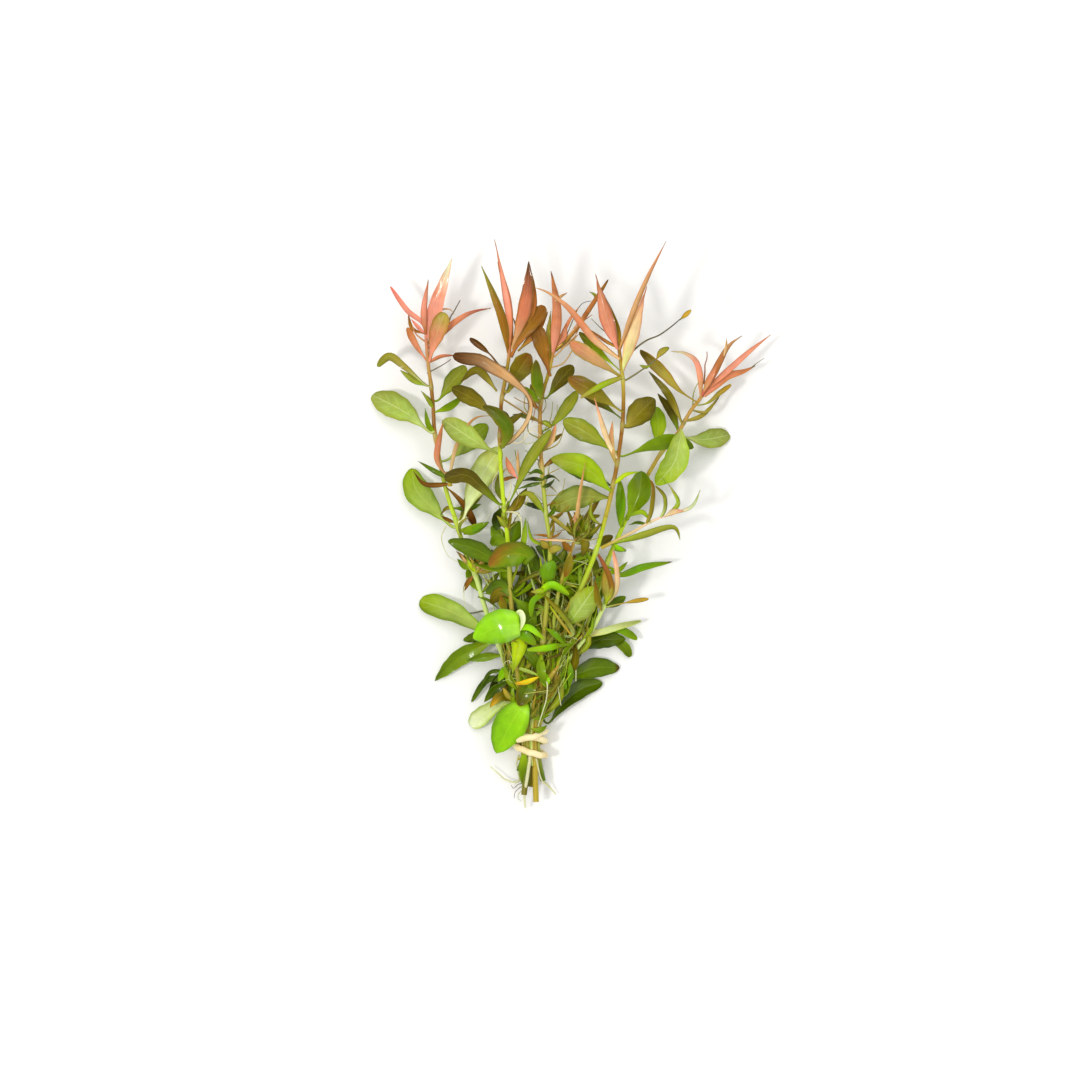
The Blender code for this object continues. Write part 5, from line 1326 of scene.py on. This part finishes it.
for name, spec in stems.items():
    way = stemWays[name]
    total = wayLengths(way)
    tipStart = distanceAtRow(way, total, spec["tipRow"])
    makeShoot("stem_" + name, spec, 0.0, tipStart)
    makeShoot("tip_" + name, spec, tipStart - stemShape["overlap"], total[-1])
for node, spec in shortShoots.items():
    makeShoot(node, spec, 0.0, wayLengths(stemWays[node])[-1])
print("stems and shoots made")

for node, spec in singleLeaves.items():
    standFor(makeLeaf(pieceName(node), spec, next(seeds), rooted=True), node)
print("leaves made")


# The rubber band: degrees round the bundle, place along it in mm, lift off the strand under it in mm
band = {
    "centre": (531.0, 744.0, 9.4),
    "bundleRadius": 4.5 * mm,
    "radius": 1.4 * mm,
    "turns": 3,
    "closing": 90,
    "ringsPerTurn": 60,
    "roundness": 3,
    "way": ((0, -5.2, 0.0), (45, -5.1, 0.0), (90, -4.0, 0.0), (135, -2.4, 0.0), (180, -1.5, 0.0),
            (270, 0.2, 0.0), (360, 0.8, 0.0), (450, 2.6, 0.0), (540, 3.8, 0.0), (630, 4.3, 0.0),
            (720, 5.2, 0.0), (765, 4.7, 0.8), (810, 2.6, 2.6), (855, 1.6, 2.0), (900, 1.2, 1.2),
            (945, -1.3, 2.5), (990, -3.4, 0.3)),
}


# The thick of the bunch: small old leaves, thin stalks and fine rootlets that fill the space between the
# stems. Each grows from a stem and stays inside the outline, in plan points. Widths and heights are in mm;
# spread is how far, in degrees, they lean off the way the stems fan out from the band
fanFoot = (531, 760)
thickets = {
    "core": {
        "outline": ((468, 552), (484, 546), (506, 540), (524, 543), (552, 546), (576, 543), (596, 550),
                    (606, 564), (606, 584), (602, 602), (594, 620), (584, 642), (578, 656), (569, 680),
                    (558, 702), (550, 722), (541, 731), (522, 731), (512, 716), (502, 702), (500, 680),
                    (500, 668), (506, 655), (499, 641), (493, 622), (486, 605), (474, 584)),
        "rows": (552, 724),
        "leaves": (
            # The lowest layer has the darkest looks and the top layer the lightest: painted shade deep in
            # the thick
            {"count": 90, "width": (4, 7.5), "length": (30, 62), "height": (1.5, 9), "spread": 35,
             "bend": 0.15, "looks": ("darkGreen", "deepGreen", "deepGreen", "deepOlive", "green")},
            {"count": 130, "width": (1.8, 4.2), "length": (22, 52), "height": (8, 17), "spread": 45,
             "bend": 0.2, "looks": ("deepGreen", "green", "green", "oliveGreen", "olive", "oliveYellow",
                                    "freshGreen")},
            {"count": 110, "width": (1.1, 2.6), "length": (18, 50), "height": (15, 24), "spread": 50,
             "bend": 0.25, "looks": ("green", "freshGreen", "oliveYellow", "oliveStrap", "limeStrap",
                                     "freshGreen")},
        ),
        "threads": (
            {"count": 100, "width": (0.6, 1.3), "length": (40, 100), "height": (12, 21), "spread": 20,
             "bend": 0.14, "paints": ("stemGreen", "stemLime", "stemPale", "fresh", "fresh", "stemGold")},
            {"count": 50, "width": (0.5, 1.0), "length": (30, 80), "height": (14, 20), "spread": 16,
             "bend": 0.12, "paints": ("stemPale", "stemLime", "veryPale", "lime")},
            {"count": 70, "width": (0.3, 0.5), "length": (16, 44), "height": (10, 22), "spread": 90,
             "bend": 0.6, "paints": ("root", "rootYellow", "rootYellow", "stemPale")},
        ),
        "throughBand": 36,
    },
    "upper": {
        "outline": ((508, 384), (560, 380), (572, 430), (604, 468), (606, 545), (500, 545), (458, 540),
                    (462, 500), (500, 470)),
        "rows": (384, 545),
        "leaves": (
            {"count": 34, "width": (1.2, 2.6), "length": (14, 32), "height": (22, 36), "spread": 60,
             "bend": 0.3, "looks": ("deepGreen", "deepOlive", "oliveBrown", "oliveStrap", "bronze",
                                    "oliveYellow")},
        ),
        "threads": (
            {"count": 36, "width": (0.4, 0.8), "length": (14, 40), "height": (24, 37), "spread": 70,
             "bend": 0.35, "paints": ("khaki", "khaki", "oliveGreen", "bronze", "olive")},
            {"count": 22, "width": (0.25, 0.4), "length": (14, 36), "height": (22, 36), "spread": 90,
             "bend": 0.7, "paints": ("root", "rootYellow", "cream")},
        ),
        "throughBand": 0,
    },
}
thicketLeaf = {"chance": 474, "firstSeed": 1000, "forms": ("lance", "oval", "oval", "needle"),
               "roll": (-35, 35)}
# The middle of a route: shares of the foot's and the tip's height, and a little up or down in mm
thicketArch = {"foot": 0.3, "tip": 0.7, "lift": (-1, 2)}
# Thin stalks that run through the band among the stems and flare out above and below it
bundle = {"width": (1.1, 1.9), "reach": (0.6, 0.95), "from": (664, 712), "to": (758, 772),
          "flare": (0.9, 1.5), "bandRows": (729, 757), "topClimb": 4.0, "footClimb": -1.0, "footLift": 0.9,
          "paints": ("stemGreen", "stemGold", "stemPale", "khaki", "stemTan", "rootYellow", "leaf")}


def insideOutline(outline, across, down):
    inside = False
    for (a, b), (c, d) in zip(outline, outline[1:] + outline[:1]):
        if (b > down) != (d > down) and across < a + (down - b) * (c - a) / (d - b):
            inside = not inside
    return inside


def stemPlaces(rows):
    # Every stem's middle at each row of the plan, in plan points
    places = []
    for spec in [*stems.values(), shortShoots["shoot_low_right"], shortShoots["shoot_centre"]]:
        way = smoothWay([Vector(p) for p in spec["route"]])
        places.append([p for p in way if rows[0] < p.y < rows[1]])
    return [row for row in places if row]


def thicketRoute(chance, places, outline, kind):
    # From a stem, a little arched, to an end inside the outline
    while True:
        start = chance.choice(chance.choice(places))
        fan = atan2(start.y - fanFoot[1], start.x - fanFoot[0])
        angle = fan + radians(chance.gauss(0, kind["spread"]))
        reach = chance.uniform(*kind["length"])
        end = (start.x + reach * cos(angle), start.y + reach * sin(angle))
        if insideOutline(outline, *end) and insideOutline(outline, start.x, start.y):
            break
    height = chance.uniform(*kind["height"])
    side = chance.uniform(-1, 1) * kind["bend"] * reach
    level = thicketArch["foot"] * start.z + thicketArch["tip"] * height
    level += chance.uniform(*thicketArch["lift"])
    across = 0.5 * (start.x + end[0]) - side * sin(angle)
    down = 0.5 * (start.y + end[1]) + side * cos(angle)
    return tuple(start), (across, down, level), (*end, height)


def bundleRoute(chance):
    around = chance.uniform(0, 2 * pi)
    reach = chance.uniform(*bundle["reach"]) * band["bundleRadius"] / mm
    across, up = reach * cos(around) * mm / plan["point"], reach * sin(around)
    flare = chance.uniform(*bundle["flare"])
    upper, lower = bundle["bandRows"]
    knots = (
        (flare, chance.uniform(*bundle["from"]), 1.0, bundle["topClimb"]),
        (1.0, upper, 1.0, 0.0),
        (1.0, lower, 1.0, 0.0),
        (flare, chance.uniform(*bundle["to"]), bundle["footLift"], bundle["footClimb"]),
    )
    middle = band["centre"]
    return [(middle[0] + spread * across, row, middle[2] + lift * up + climb)
            for spread, row, lift, climb in knots]


def thicketPiece(parts, name):
    piece = joined(parts, name)
    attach(piece, "root")


def growThicket(name, thicket):
    chance = Random(thicketLeaf["chance"])
    places = stemPlaces(thicket["rows"])
    outline = thicket["outline"]
    made = []
    for layer in thicket["leaves"]:
        for i in range(layer["count"]):
            route = thicketRoute(chance, places, outline, layer)
            form = chance.choice(thicketLeaf["forms"])
            spec = leaf(chance.choice(layer["looks"]), form, chance.uniform(*layer["width"]), *route,
                        roll=chance.uniform(*thicketLeaf["roll"]))
            seed = thicketLeaf["firstSeed"] + len(made)
            made.append(makeLeaf("smallLeaf", spec, seed, patterns=smallBlades))
    thicketPiece(made, name + "Leaves")
    made = []
    for kind in thicket["threads"]:
        for i in range(kind["count"]):
            thin = root(chance.uniform(*kind["width"]), *thicketRoute(chance, places, outline, kind),
                        colour=chance.choice(kind["paints"]))
            made.append(makeRoot("rootlet", thin, rootletRod))
    for i in range(thicket["throughBand"]):
        thin = root(chance.uniform(*bundle["width"]), *bundleRoute(chance),
                    colour=chance.choice(bundle["paints"]))
        made.append(makeRoot("rootlet", thin, fineRod))
    thicketPiece(made, name + "Rootlets")


for name, thicket in thickets.items():
    growThicket(name, thicket)
print("thicket grown")


def bandPoint(angle):
    way = band["way"]
    full = way[-1][0] + band["closing"]
    for i, here in enumerate(way):
        after = way[(i + 1) % len(way)]
        end = after[0] if after[0] > here[0] else full
        if here[0] <= angle < end:
            share = ease(here[0], end, angle)
            along = here[1] + (after[1] - here[1]) * share
            lift = here[2] + (after[2] - here[2]) * share
    reach = band["bundleRadius"] + band["radius"] + lift * mm
    around = radians(angle)
    return place(band["centre"]) + Vector((reach * cos(around), along * mm, reach * sin(around)))


def makeBand():
    # A closed round strand, three turns long
    count = band["turns"] * band["ringsPerTurn"]
    full = band["way"][-1][0] + band["closing"]
    line = bpy.data.curves.new("rubberBand", "CURVE")
    line.dimensions = "3D"
    line.twist_mode = "MINIMUM"
    line.bevel_depth = band["radius"]
    line.bevel_resolution = band["roundness"]
    run = line.splines.new("POLY")
    run.points.add(count - 1)
    for i, knot in enumerate(run.points):
        knot.co = (*bandPoint(i * full / count), 1)
    run.use_cyclic_u = True
    strand = bpy.data.objects.new("rubberBand", line)
    bpy.context.scene.collection.objects.link(strand)
    activate(strand)
    bpy.ops.object.convert(target="MESH")
    strand = bpy.context.object
    strand.data.materials.clear()
    strand.data.materials.append(rubberFinish)
    bpy.ops.object.shade_smooth()
    return strand


standFor(makeBand(), "rubber_band")
print("band made")

for pattern in [*blades.values(), *smallBlades.values(), stemRod, fineRod, rootletRod]:
    bpy.data.objects.remove(pattern)

# Floor, light and camera
studio = {"floorSize": 16.0, "worldStrength": 0.62, "cameraHeight": 3.0, "viewWidth": 0.4536,
          "viewCentre": (540, 540), "viewHeight": 25, "sensor": 36, "clipEnd": 100}
paper = {"roughness": 0.9, "shine": 0.2, "coat": 0.0, "coatRoughness": 0.3, "scale": 3.0,
         "tones": ((0.95, 0.95, 0.945, 1), (0.975, 0.975, 0.97, 1))}
bpy.ops.mesh.primitive_grid_add(x_subdivisions=4, y_subdivisions=4, size=studio["floorSize"],
                                location=(0, 0, 0))
floor = bpy.context.object
floor.name = "floor"
floorPaper, surface = newMaterial("floorPaper", paper)
shade = mixColour(floorPaper, grain(floorPaper, paper["scale"], 2), *paper["tones"])
plug(floorPaper, surface.inputs["Base Color"], shade)
floor.data.materials.append(floorPaper)

world = bpy.data.worlds.new("studio")
bpy.context.scene.world = world
world.use_nodes = True
world.node_tree.nodes["Background"].inputs["Color"].default_value = (1.0, 1.0, 1.0, 1)
world.node_tree.nodes["Background"].inputs["Strength"].default_value = studio["worldStrength"]

lamps = {
    "lampAbove": {"at": (0.1, 0.5, 1.9), "size": 1.4, "power": 14, "colour": (1.0, 0.99, 0.97)},
    "lampLeft": {"at": (-0.72, -0.21, 1.6), "size": 0.18, "power": 9, "colour": (1.0, 0.97, 0.93)},
}
for name, lamp in lamps.items():
    bpy.ops.object.light_add(type="AREA", location=lamp["at"])
    light = bpy.context.object
    light.name = name
    light.data.size = lamp["size"]
    light.data.energy = lamp["power"]
    light.data.color = lamp["colour"]
    light.rotation_euler = (-Vector(lamp["at"])).to_track_quat("-Z", "Y").to_euler()
    light.visible_camera = False

centre = place((*studio["viewCentre"], 0))
cameraAt = (centre.x, centre.y, studio["viewHeight"] * mm + studio["cameraHeight"])
bpy.ops.object.camera_add(location=cameraAt, rotation=(0, 0, 0))
camera = bpy.context.object
camera.data.sensor_width = studio["sensor"]
camera.data.lens = studio["sensor"] * studio["cameraHeight"] / studio["viewWidth"]
camera.data.clip_end = studio["clipEnd"]
bpy.context.scene.camera = camera
bpy.context.scene.view_settings.view_transform = "Standard"
